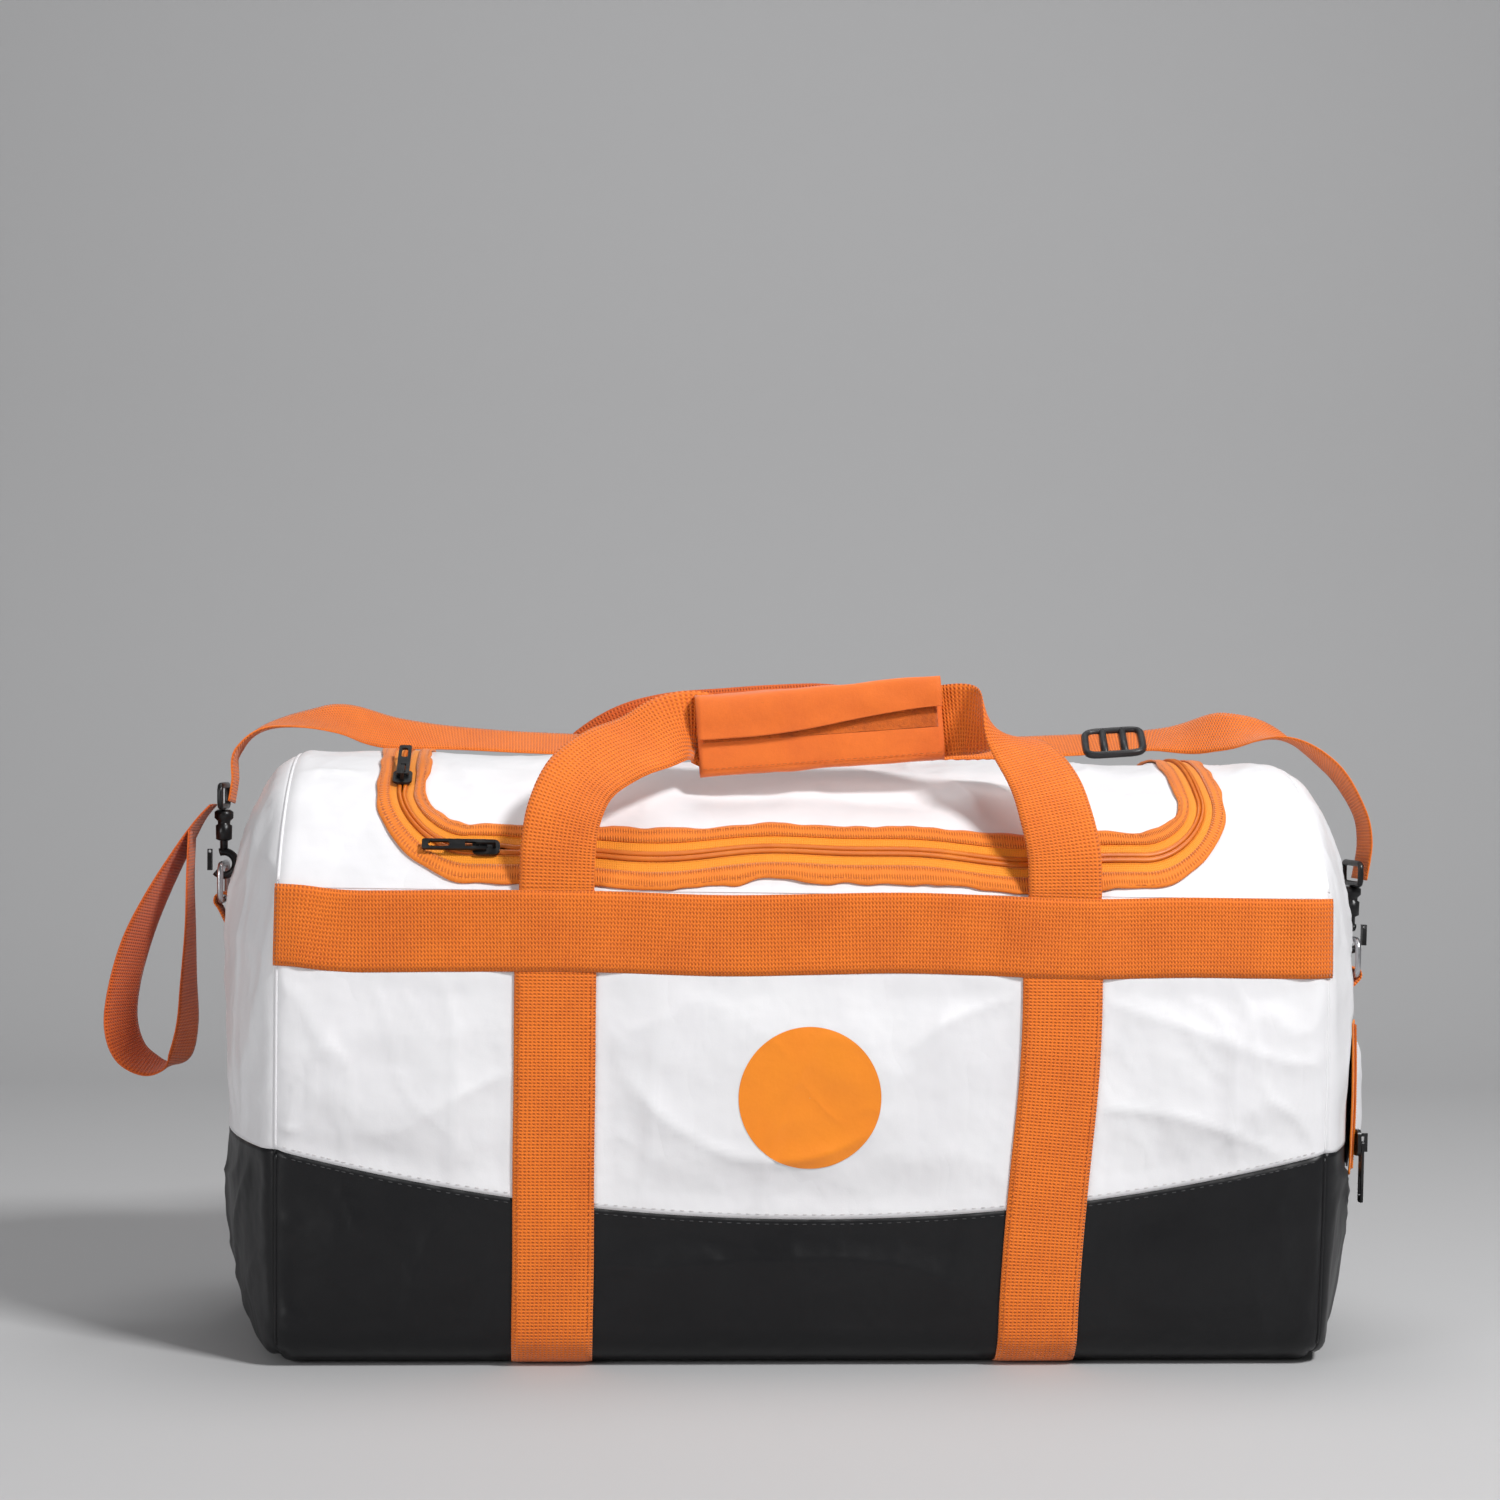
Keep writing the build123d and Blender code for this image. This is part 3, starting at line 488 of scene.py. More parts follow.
def hard(name, color, wear, roughness, metallic):
    """Metal or moulded plastic, with a fine grain in its roughness and bumps, and lighter rubbed places."""
    mat, tree, shader = material(name, color, roughness, Metallic=metallic)
    at = places(tree)
    grain = noise_node(tree, at, 260.0, 4.0, 0.6)
    rubbed = noise_node(tree, at, 55.0, 3.0, 0.5)
    vary(tree, shader, rubbed, [(0.45, color), (0.8, wear)], grain, roughness - 0.1, roughness + 0.16)
    bump(tree, shader, grain, 0.22, 0.0004)
    return mat


WHITE = coated_cloth(
    "white_coated_cloth", (0.83, 0.825, 0.84), (0.76, 0.75, 0.77), 0.44, 0.1, 0.3, Sheen_Weight=0.05
)
BLACK = coated_cloth(
    "black_coated_cloth", (0.006, 0.006, 0.007), (0.003, 0.003, 0.004), 0.42, 0.06, 0.34, Specular_IOR_Level=0.3
)
WEBBING = woven("orange_webbing", (0.92, 0.205, 0.008), (0.60, 0.10, 0.004), 0.72, 0.0021, 0.0026, 0.0008)
ZIP_TAPE = woven("zip_tape", (0.93, 0.31, 0.008), (0.80, 0.235, 0.006), 0.62, 0.0011, 0.0011, 0.0003)
BINDING = woven("zip_binding", (0.90, 0.24, 0.015), (0.60, 0.12, 0.006), 0.74, 0.0016, 0.0042, 0.0006)
COIL = hard("zip_coil", (0.62, 0.14, 0.006), (0.72, 0.2, 0.012), 0.42, 0.0)
GRIP = plain_cloth("grip_cloth", (0.88, 0.185, 0.012), (0.72, 0.13, 0.009), 0.68, 1100.0, 0.0003)
PILE = plain_cloth("hook_and_loop_pile", (0.80, 0.17, 0.010), (0.36, 0.06, 0.004), 0.9, 520.0, 0.0022)
# Darker copy of the orange webbing with painted shade, for the rear handle and the hanging spare loop.
SHADED_WEBBING = woven("orange_webbing_painted_shade", (0.74, 0.13, 0.008), (0.42, 0.05, 0.004), 0.7, 0.0021, 0.0026, 0.0008)
PRINT = plain_cloth("printed_ink", (0.93, 0.27, 0.004), (0.88, 0.235, 0.004), 0.46, 800.0, 0.0002)
THREAD = plain_cloth("orange_thread", (0.66, 0.15, 0.01), (0.5, 0.1, 0.008), 0.7, 900.0, 0.0002)
PALE_THREAD = plain_cloth("pale_thread", (0.74, 0.72, 0.72), (0.6, 0.58, 0.58), 0.7, 900.0, 0.0002)
DARK_THREAD = plain_cloth("dark_thread", (0.05, 0.05, 0.055), (0.03, 0.03, 0.03), 0.6, 900.0, 0.0002)
BLACK_METAL = hard("black_enamel", (0.014, 0.014, 0.015), (0.05, 0.05, 0.05), 0.3, 0.55)
BLACK_PLASTIC = hard("black_plastic", (0.016, 0.016, 0.018), (0.034, 0.034, 0.036), 0.42, 0.0)
STEEL = hard("plated_steel", (0.52, 0.52, 0.54), (0.62, 0.62, 0.63), 0.3, 1.0)
BOARD = hard("board", (0.03, 0.03, 0.03), (0.06, 0.06, 0.06), 0.6, 0.0)


# Mesh makers

def build(name, points, faces, mat):
    """Smooth mesh from points in millimetres."""
    mesh = bpy.data.meshes.new(name)
    mesh.from_pydata([Vector(p) * MM for p in points], [], faces)
    mesh.materials.append(mat)
    for face in mesh.polygons:
        face.use_smooth = True
    mesh.update()
    return put(name, mesh)


def make(name, points, faces, uvs, mat, slot, body, nodes=()):
    """Piece of the bag. uvs gives one pair per point, in metres."""
    piece = build(name, points, faces, mat)
    if uvs:
        layer = piece.data.uv_layers.new(name="weave")
        for loop in piece.data.loops:
            layer.data[loop.index].uv = uvs[loop.vertex_index]
    if body:
        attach(piece, body)
    if nodes:
        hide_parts(*nodes)
    return piece


def grid(rows, columns, point, scale_u, scale_v):
    """Points, faces and uvs of a sheet. point(u, v) takes 0..1 along columns and rows."""
    points, faces, uvs = [], [], []
    for r in range(rows + 1):
        for c in range(columns + 1):
            u, v = c / columns, r / rows
            points.append(point(u, v))
            uvs.append((u * scale_u * MM, v * scale_v * MM))
    wide = columns + 1
    for r in range(rows):
        for c in range(columns):
            a = r * wide + c
            faces.append((a, a + 1, a + wide + 1, a + wide))
    return points, faces, uvs


def tube_faces(rings, around, ends="open", base=0):
    """Faces that join rings of points. The ends are open, capped or joined to each other."""
    faces = []
    for i in range(rings if ends == "joined" else rings - 1):
        a, b = base + i * around, base + (i + 1) % rings * around
        for k in range(around):
            after = (k + 1) % around
            faces.append((a + k, a + after, b + after, b + k))
    if ends == "capped":
        faces.append(tuple(base + k for k in reversed(range(around))))
        faces.append(tuple(base + (rings - 1) * around + k for k in range(around)))
    return faces


def thicken(piece, thickness):
    """Gives a sheet its thickness, inward from its faces' outer side."""
    solid = piece.modifiers.new("thickness", "SOLIDIFY")
    solid.thickness = thickness * MM
    solid.offset = -1.0
    solid.use_even_offset = False
    bpy.context.view_layer.update()
    graph = bpy.context.evaluated_depsgraph_get()
    mesh = bpy.data.meshes.new_from_object(piece.evaluated_get(graph))
    piece.modifiers.clear()
    piece.data = mesh


def sheet_piece(name, rows, columns, point, mat, slot, body, nodes, thickness, flip, size=(600, 200)):
    points, faces, uvs = grid(rows, columns, point, *size)
    if flip:
        faces = [tuple(reversed(face)) for face in faces]
    thicken(make(name, points, faces, uvs, mat, slot, body, nodes), thickness)


def spline(stations, steps):
    """Smooth line through stations, each a tuple of vectors."""
    def between(p0, p1, p2, p3, t):
        square = 2 * p0 - 5 * p1 + 4 * p2 - p3
        cube = 3 * p1 - p0 - 3 * p2 + p3
        return 0.5 * (2 * p1 + (p2 - p0) * t + square * t * t + cube * t**3)
    rows = []
    last = len(stations) - 1
    for i in range(last):
        near = [stations[clamp(i + k, 0, last)] for k in (-1, 0, 1, 2)]
        for k in range(steps):
            rows.append(tuple(between(*(n[j] for n in near), k / steps) for j in range(len(stations[0]))))
    rows.append(tuple(stations[-1]))
    return rows


def ribbon(name, stations, width, mat, body, nodes, steps, wobble=0.0, seed=0.0, thickness=1.7):
    """Webbing along stations of (middle, direction of its width). Its edges are rounded."""
    rows = spline([(Vector(p), Vector(w).normalized()) for p, w in stations], steps)
    section = []
    across = 10
    for k in range(across + 1):
        t = -1 + 2 * k / across
        section.append((t, 1 - 0.55 * smooth((abs(t) - 0.86) / 0.14)))
    loop = section + [(t, -h) for t, h in reversed(section)]
    points, uvs = [], []
    travel = 0.0
    for i, (middle, wide) in enumerate(rows):
        before = rows[max(i - 1, 0)][0]
        after = rows[min(i + 1, len(rows) - 1)][0]
        along = (after - before).normalized()
        wide = (wide - along * wide.dot(along)).normalized()
        out = along.cross(wide).normalized()
        if i:
            travel += (middle - rows[i - 1][0]).length
        shift = wobble * rough(travel, seed, 0, 60)
        for t, h in loop:
            curl = wobble * 0.5 * rough(travel, seed + 40 + t * 9, 0, 45)
            points.append(middle + wide * (t * width / 2 + shift) + out * (h * thickness / 2 + curl))
            uvs.append((travel * MM, t * width / 2 * MM))
    return make(name, points, tube_faces(len(rows), len(loop), "capped"), uvs, mat, "webbing", body, nodes)


def stitches(name, runs, mat, slot, body):
    """Rows of thread. Each run is a list of (point, outward direction)."""
    length, gap, width, height = 2.6, 1.3, 0.55, 0.35
    points, faces = [], []
    for run in runs:
        wait = 0.0
        for (p, n), (q, _) in zip(run, run[1:]):
            p, q, n = Vector(p), Vector(q), Vector(n).normalized()
            step = (q - p).length
            if step < 1e-6:
                continue
            along = (q - p) / step
            side = along.cross(n).normalized()
            place = wait
            while place + length <= step + 0.5:
                start = p + along * place
                base = len(points)
                for t, w, h in ((0, 0.6, -0.2), (0.2, 1, 1), (0.8, 1, 1), (1, 0.6, -0.2)):
                    spot = start + along * (t * length)
                    points.append(spot + side * (w * width / 2))
                    points.append(spot + n * (h * height))
                    points.append(spot - side * (w * width / 2))
                for k in range(3):
                    a = base + 3 * k
                    faces.append((a, a + 3, a + 4, a + 1))
                    faces.append((a + 1, a + 4, a + 5, a + 2))
                place += length + gap
            wait = max(0.0, place - step)
    make(name, points, faces, None, mat, slot, body)


# Cloth body

SKIN = 1.3


def wall(side, base, name, nodes):
    """The white or the black cloth of the front (side -1) or the rear (side 1)."""
    def point(u, v):
        x = mix(-HALF_LENGTH, HALF_LENGTH, u)
        seam = seam_height(x)
        return wall_point(side, x, mix(0, seam, v**1.35) if base else mix(seam, EDGE_TOP, v))
    rows, mat, slot = (44, BLACK, "black_cloth") if base else (64, WHITE, "white_cloth")
    sheet_piece(name, rows, 200, point, mat, slot, "bag", nodes, SKIN, side > 0)


wall(-1, False, "front_wall", ["front_panel"])
wall(1, False, "rear_wall", ["rear_panel"])
wall(-1, True, "base_front", ["base_front_panel"])
wall(1, True, "base_rear", ["base_rear_panel"])


def end_wall(end, name, low, high, mat, slot, nodes, rows):
    def point(u, v):
        share = 2 * u - 1
        top = dome(HALF_DEPTH * share) if high > CREST else high
        z = mix(low, top, v)
        deep = wall_depth(min(z, EDGE_TOP))
        return end_point(end, deep * share, min(z, dome(min(HALF_DEPTH, deep * abs(share)))))
    sheet_piece(name, rows, 90, point, mat, slot, "bag", nodes, SKIN, end < 0, (310, high - low))


for end, word in ENDS:
    end_wall(end, f"{word}_end", SEAM_END, 400, WHITE, "white_cloth", [f"{word}_end_panel"], 72)
    end_wall(end, f"base_{word}_end", 0, SEAM_END, BLACK, "black_cloth", [f"base_{word}_panel"], 44)


def underside(u, v):
    x, y = mix(-HALF_LENGTH, HALF_LENGTH, u), mix(-1, 1, v) * (HALF_DEPTH - BASE_RADIUS)
    far = end_reach(abs(y), 0) - CORNER
    x = clamp(x * (far / HALF_LENGTH), -far, far)
    return Vector((x, y, 0))


sheet_piece("base_bottom", 20, 60, underside, BLACK, "black_cloth", "bag", ["base_bottom_panel"], SKIN, True)


# Top round the zip, and the lid

TAPE_EDGE = 13.5


def rear_top(u, v):
    x, y = mix(-HALF_LENGTH, HALF_LENGTH, u), mix(LID_BACK, HALF_DEPTH, v)
    beyond = (abs(x) - LID_HALF - TAPE_EDGE) / (HALF_LENGTH - LID_HALF - TAPE_EDGE)
    share = max(smooth(2.2 * beyond), smooth((y - LID_BACK) / 20))
    return soften((x, y, dome(y))) + dome_out(y) * (top_puff(x, y) * share - TUCK * (1 - share))


sheet_piece("top_rear", 44, 200, rear_top, WHITE, "white_cloth", "bag", ["top_rear_panel"], SKIN, False)


def rim_target(s):
    """Where the top panels end, beyond a point of the zip: the bag's side and front edges."""
    side = SIDE_RUN + BEND_RUN * 0.5
    if s < side:
        return -HALF_LENGTH, mix(LID_BACK, -HALF_DEPTH, s / side)
    if s > ZIP_RUN - side:
        return HALF_LENGTH, mix(LID_BACK, -HALF_DEPTH, (ZIP_RUN - s) / side)
    return mix(-HALF_LENGTH, HALF_LENGTH, (s - side) / (ZIP_RUN - 2 * side)), -HALF_DEPTH


def top_front(u, v):
    s = u * ZIP_RUN
    x, y, nx, ny = zip_plan(s)
    reach = TAPE_EDGE + zip_wave(s)
    near = Vector((x + nx * reach, max(y + ny * reach, -HALF_DEPTH + 1.5), 0))
    far = Vector((*rim_target(s), 0))
    spot = near.lerp(far, v)
    point = soften((spot.x, spot.y, dome(spot.y)))
    return point + dome_out(spot.y) * (top_puff(spot.x, spot.y) * smooth(v * 2.2) - TUCK * (1 - v))


sheet_piece(
    "top_front", 34, 300, top_front, WHITE, "white_cloth", "bag", ["top_left_panel", "top_right_panel"],
    SKIN, True,
)


def lid_skin(u, v):
    s = u * ZIP_RUN
    x, y, nx, ny = zip_plan(s)
    reach = -TAPE_EDGE + zip_wave(s)
    near = Vector((x + nx * reach, y + ny * reach, 0))
    near.y = min(near.y, LID_BACK - 0.5)
    far = Vector((mix(-LID_HALF + TAPE_EDGE, LID_HALF - TAPE_EDGE, u), LID_BACK - 0.5, 0))
    spot = near.lerp(far, v)
    fade = smooth(v * 5) * smooth((LID_BACK - spot.y) / 20)
    point = Vector((spot.x, spot.y, dome(spot.y)))
    return point + dome_out(spot.y) * (top_puff(spot.x, spot.y) * fade - TUCK)


sheet_piece("lid_skin", 60, 300, lid_skin, WHITE, "white_cloth", "lid", ["lid_panel"], SKIN, False)


# Zip: two tapes, their bindings, the coils and their stitching

SLIDER = 17.0
FRONT_PARK = FRONT_START + SLIDER / 2 + 1
LEFT_PARK = SIDE_RUN - SLIDER / 2 - 1


def lid_gap(s):
    """Extra distance of the lid's tape and coil beside the parked sliders."""
    near = min(abs(s - FRONT_PARK), abs(s - LEFT_PARK))
    return (1 - smooth((near - 9) / 9)) * 0.8


def zip_band(name, inner, outer, lift, mat, body, nodes, thickness, edge_wave=0.0):
    """Strip of cloth beside the coil, from inner to outer. Both are below 0 on the lid's side."""
    sign = 1 if outer > 0 else -1
    def point(u, v):
        s = u * ZIP_RUN
        wave = edge_wave * (rough(s, 7.0 * sign, 3, 13) + 0.6 * rough(s, 17.0 * sign, 3, 34))
        offset = mix(inner, outer + sign * wave, v)
        if body == "lid":
            offset -= lid_gap(s) * (1 - v)
        spot = zip_point(s, offset, lift + 0.5 * edge_wave * v * rough(s, 3, 9, 21))
        if body == "lid":
            spot.y = min(spot.y, LID_BACK - 3)
        return spot
    wide = abs(outer - inner)
    sheet_piece(name, 4, 420, point, mat, "zip_tape", body, nodes, thickness, sign > 0, (ZIP_RUN, wide))


ZIP_SIDES = ((1, "bag"), (-1, "lid"))
for sign, body in ZIP_SIDES:
    zip_band(f"{body}_tape", sign * 2.0, sign * 10.5, 0.4, ZIP_TAPE, body, [f"{body}_zip_tape"], 0.9)
for sign, body in ZIP_SIDES:
    zip_band(f"{body}_binding", sign * 7.6, sign * 15.6, 1.5, BINDING, body, [], 1.2, 1.1)


def coil(name, steps, point, body, nodes=(), flip=True):
    """Ridged bead. point takes 0..1 along it, cosine and sine round it, and the ridge's sign."""
    around = circle(8)
    points = [point(i / steps, c, n, 1 if i % 2 else -1) for i in range(steps + 1) for c, n in around]
    faces = tube_faces(steps + 1, len(around))
    if flip:
        faces = [(a, d, c, b) for a, b, c, d in faces]
    make(name, points, faces, None, COIL, "zip_coil", body, nodes)


def half_coil(name, offset, body, nodes):
    """Half of the main zip's coil, along the tape's edge."""
    def point(t, c, n, tooth):
        s = ZIP_RUN * t
        away = offset if body == "bag" else offset - lid_gap(s)
        spot = zip_point(s, away + (1.28 + tooth * 0.066) * c, 1.0 + (1.25 + tooth * 0.22) * n)
        if body == "lid":
            spot.y = min(spot.y, LID_BACK - 4)
        return spot
    coil(name, int(ZIP_RUN / 0.85), point, body, nodes)


def zip_run(offset):
    """Line of stitching along the zip."""
    rows = []
    count = int((ZIP_RUN - 8) / 3)
    for i in range(count + 1):
        spot = zip_point(mix(4, ZIP_RUN - 4, i / count), offset, 1.5)
        rows.append((spot, Vector((0, spot.y, dome(spot.y) - DOME_Z))))
    return rows


for sign, body in ZIP_SIDES:
    half_coil(f"{body}_coil", sign * 1.3, body, [f"{body}_zip_coil"])
for sign, body in ZIP_SIDES:
    runs = [zip_run(sign * 8.6), zip_run(sign * 13.6)]
    stitches(f"{body}_zip_stitches", runs, THREAD, "zip_tape", body)


# Webbing on the body

def strap_line(side, end):
    """Upright strap: out from under the base, round its edge and up to the dome."""
    out = 1.1
    turned = BASE_RADIUS + out
    path = [(y, 0) for y in (0, 60, 110, 124)]
    for angle in (15, 35, 55, 75):
        a = math.radians(angle)
        path.append((HALF_DEPTH - BASE_RADIUS + turned * math.sin(a), BASE_RADIUS - turned * math.cos(a)))
    path += [(wall_depth(z) + out, z) for z in range(38, 297, 19)]
    x = end * STRAP_X
    return [((x + strap_lean(end, z), side * deep, max(z, 0.9)), (1, 0, 0)) for deep, z in path]


for side, depth_word in WALLS:
    for end, word in ENDS:
        ribbon(
            f"{depth_word}_upright_{word}", strap_line(side, end), WEB, WEBBING, "bag",
            [f"{depth_word}_strap_{word}"], 5, wobble=0.25, seed=side * 10 + end,
        )
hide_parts("base_straps")


def band_stations(side):
    """Band along one wall, over the upright straps and into the corner seams."""
    stations = []
    steps = 40
    for i in range(steps + 1):
        x = mix(-HALF_LENGTH + 1, HALF_LENGTH - 1, i / steps)
        wave = 1.5 * rough(x, 3 + 20 * side, 0, 110)
        if side < 0:
            wave += 2.5 * smooth((-285 - x) / 30)
        over = 1.2 + 1.9 * smooth((8 - max(0, strap_distance(x, BAND_MIDDLE))) / 8)
        over += 1.7 * smooth((abs(x) - HALF_LENGTH + 30) / 18)
        spot = soften((x, side * wall_depth(BAND_MIDDLE), BAND_MIDDLE))
        turn = smooth((abs(x) - HALF_LENGTH + 12) / 12) * 0.7
        away = Vector((turn * (1 if x > 0 else -1), side * (1 - 0.3 * turn), 0)).normalized()
        stations.append((spot + away * over + Vector((0, 0, wave)), (0, 0, 1)))
    return stations


for side, word in WALLS:
    ribbon(f"band_{word}_webbing", band_stations(side), WEB, WEBBING, "bag", [f"band_{word}"], 3)


# Handles: each is one length of webbing, folded over at both ends of its middle part

def handle_root(side, end, wide=1):
    """The part of a handle that is sewn to the bag, from its lower end upward."""
    stations = ((157.6, 276), (159.0, 292), (160.0, 303))
    return [((end * STRAP_X, side * y, z), (wide, 0, 0)) for y, z in stations]


FRONT_GRIP_LEFT = Vector((-70, GRIP_Y, 390))
FRONT_GRIP_RIGHT = Vector((88, GRIP_Y, 404))

front_handle = ribbon(
    "front_handle_webbing",
    [
        *handle_root(-1, -1),
        ((-156, -158.0, 324), (1, 0, 0)), ((-152, -152.0, 345), (1, 0.02, -0.06)),
        ((-142, -140.0, 365), (0.95, 0, -0.28)), ((-124, -124.0, 379), (0.91, -0.03, -0.42)),
        ((-102, -107.0, 388), (0.86, -0.12, -0.5)), ((-84, -96.0, 397), (0.62, -0.14, -0.77)),
        ((-69, -90.0, 398), (0.26, -0.04, -0.96)), ((-54, -88.5, 393), (0.02, 0, -1)),
        ((-30, -88.0, 392), (-0.06, 0, -1)), ((10, -88.0, 397), (-0.088, 0, -1)),
        ((60, -88.0, 401), (-0.088, 0, -1)), ((86, -89.0, 404), (0.1, 0.05, -1)),
        ((104, -95.0, 405), (0.5, -0.1, -0.85)), ((121, -108.0, 398), (0.8, -0.1, -0.5)),
        ((135, -123.0, 385), (0.95, -0.03, -0.25)), ((146, -139.0, 366), (1, 0, -0.12)),
        ((152, -151.0, 345), (1, 0, -0.03)), ((156, -158.0, 324), (1, 0, 0)),
        *reversed(handle_root(-1, 1)),
    ],
    46, WEBBING, None, ["front_handle_left", "front_handle_right", "front_handle_middle"], 9,
    wobble=0.35, seed=4.0,
)
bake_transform(front_handle)

# The rear handle takes the darker webbing, which carries painted shade.
rear_handle = ribbon(
    "rear_handle_webbing",
    [
        *handle_root(1, -1),
        ((-156, 157.0, 326), (1, 0, 0)), ((-151, 150.0, 350), (1, -0.02, -0.08)),
        ((-136, 140.0, 375), (0.9, 0, -0.4)), ((-110, 131.0, 393), (0.7, 0.03, -0.7)),
        ((-78, 128.0, 402), (0.3, 0.02, -0.95)), ((-40, 128.0, 406), (0.05, 0, -1)),
        ((0, 128.0, 409), (-0.04, 0, -1)), ((34, 128.0, 410), (-0.1, 0, -1)),
        ((74, 128.0, 405), (-0.25, 0.02, -0.96)), ((108, 131.0, 395), (-0.65, 0.03, -0.75)),
        ((136, 140.0, 376), (-0.88, 0, -0.42)), ((151, 150.0, 350), (-1, -0.02, -0.08)),
        ((156, 157.0, 326), (-1, 0, 0)),
        *reversed(handle_root(1, 1, -1)),
    ],
    44, SHADED_WEBBING, None, ["rear_handle_left", "rear_handle_right", "rear_handle_middle"], 9,
    wobble=0.35, seed=14.0,
)
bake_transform(rear_handle)


# Grip: a cuff rolled round the handle, its flap, and the two rough patches between them

GRIP_LINE = (FRONT_GRIP_RIGHT - FRONT_GRIP_LEFT).normalized()
GRIP_UP = Vector((-GRIP_LINE.z, 0, GRIP_LINE.x))
GRIP_LENGTH = (FRONT_GRIP_RIGHT - FRONT_GRIP_LEFT).length - 2


def grip_sheet(name, profile, mat, slot, body, nodes, thickness, inset=0.0, seed=0.0, amount=0.5, wedge=0.0):
    """Cloth drawn along the grip from a profile of (depth, height) points round it."""
    rows = spline([(Vector((d, h, 0)),) for d, h in profile], 8)
    count, steps = len(rows), 46
    points, faces, uvs = [], [], []
    for i in range(steps + 1):
        along = mix(inset, GRIP_LENGTH - inset, i / steps)
        for k, (spot,) in enumerate(rows):
            dent = amount * rough(along, spot.x * 3 + seed, spot.y * 2, 24)
            centre = FRONT_GRIP_LEFT + GRIP_LINE * (along + 1)
            out = Vector((spot.x, spot.y, 0)).normalized() * dent
            out.y += wedge * smooth((along / GRIP_LENGTH - 0.2) / 0.8) * (k / (count - 1)) ** 2
            points.append(centre + Vector((0, spot.x + out.x, 0)) + GRIP_UP * (spot.y + out.y))
            uvs.append((along * MM, k * 2 * MM))
    for i in range(steps):
        for k in range(count - 1):
            a = i * count + k
            faces.append((a, a + count, a + count + 1, a + 1))
    thicken(make(name, points, faces, uvs, mat, slot, body, nodes), thickness)


grip_sheet(
    "grip_cuff_cloth",
    [
        (5.2, 22.5), (6.0, 18), (6.2, 0), (6.0, -18), (4.6, -23.2), (0, -24.4),
        (-4.6, -23.2), (-6.4, -18), (-6.8, -4), (-6.2, 8), (-5.6, 15),
    ],
    GRIP, "grip_cloth", "front_handle", ["grip_cuff"], 1.4,
)
grip_sheet(
    "grip_loop_pile", [(-7.0, -3), (-7.2, 4), (-6.7, 10), (-6.4, 14)],
    PILE, "hook_and_loop", "front_handle", ["grip_loop_patch"], 0.7, inset=3.0, amount=0.25,
)
grip_sheet(
    "grip_flap_cloth",
    [(5.4, 25.4), (1, 26.2), (-4, 26.2), (-8.6, 25.2), (-10.4, 22), (-10.9, 12), (-10.0, -1)],
    GRIP, "grip_cloth", "grip_flap", ["grip_flap"], 1.3, seed=9.0, wedge=11.0,
)
grip_sheet(
    "grip_hook_pile", [(-8.9, 17), (-9.1, 14), (-8.9, 11)],
    PILE, "hook_and_loop", "grip_flap", ["grip_hook_patch"], 0.6, inset=4.0, amount=0.1,
)


def grip_run(depth, height, inset=2.0):
    """Line of stitching along the grip."""
    rows = []
    for i in range(41):
        along = mix(inset, GRIP_LENGTH - inset, i / 40)
        spot = FRONT_GRIP_LEFT + GRIP_LINE * (along + 1) + Vector((0, depth, 0)) + GRIP_UP * height
        rows.append((spot, (0, -1, 0)))
    return rows


cuff_runs = [grip_run(-7.0, -19.5), grip_run(-7.2, 12.0, 6.0)]
stitches("grip_stitches", cuff_runs, THREAD, "grip_cloth", "front_handle")
stitches("grip_flap_stitches", [grip_run(-11.6, 20.0)], THREAD, "grip_cloth", "grip_flap")


# Shoulder strap, its hanging spare loop, and the adjuster

RING_HEIGHT = 24.0


def ring_reach(ring_z):
    """Distance of a ring from the middle of the bag."""
    return max(end_profile(ring_z), end_profile(ring_z - RING_HEIGHT)) + 12.0


LEFT_RING, RIGHT_RING = 304.0, 262.0
LEFT_X, RIGHT_X = ring_reach(LEFT_RING), ring_reach(RIGHT_RING)
EYE_RISE = 44.5
LEFT_EYE, RIGHT_EYE = LEFT_RING + EYE_RISE, RIGHT_RING + EYE_RISE

ribbon(
    "shoulder_webbing",
    [
        ((-LEFT_X + 5, 0, LEFT_EYE - 4), (0, 1, 0)), ((-LEFT_X + 7, 1, LEFT_EYE + 10), (0, 1, 0)),
        ((-368, 3, 377), (0.02, 1, 0)), ((-350, 13, 393), (0.12, 0.98, 0.12)),
        ((-310, 42, 399), (0.22, 0.92, 0.3)), ((-264, 84, 392), (0.2, 0.88, 0.42)),
        ((-200, 97, 388), (0.03, 0.92, 0.38)), ((-60, 98, 384), (0, 0.92, 0.38)),
        ((80, 99, 386), (0, 0.92, 0.38)), ((204, 101, 391), (0, 0.92, 0.38)),
        ((264, 92, 396), (0, 0.92, 0.36)), ((304, 60, 401), (-0.35, 0.82, 0.4)),
        ((341, 30, 396), (-0.28, 0.94, 0.15)), ((368, 10, 378), (-0.1, 1, 0)),
        ((385, 2, 351), (0, 1, 0)), ((390, 0, 328), (0, 1, 0)),
        ((RIGHT_X + 5, 0, RIGHT_EYE - 4), (0, 1, 0)),
    ],
    SHOULDER_WEB, WEBBING, "bag", ["shoulder_strap"], 9, wobble=0.5, seed=50.0,
)

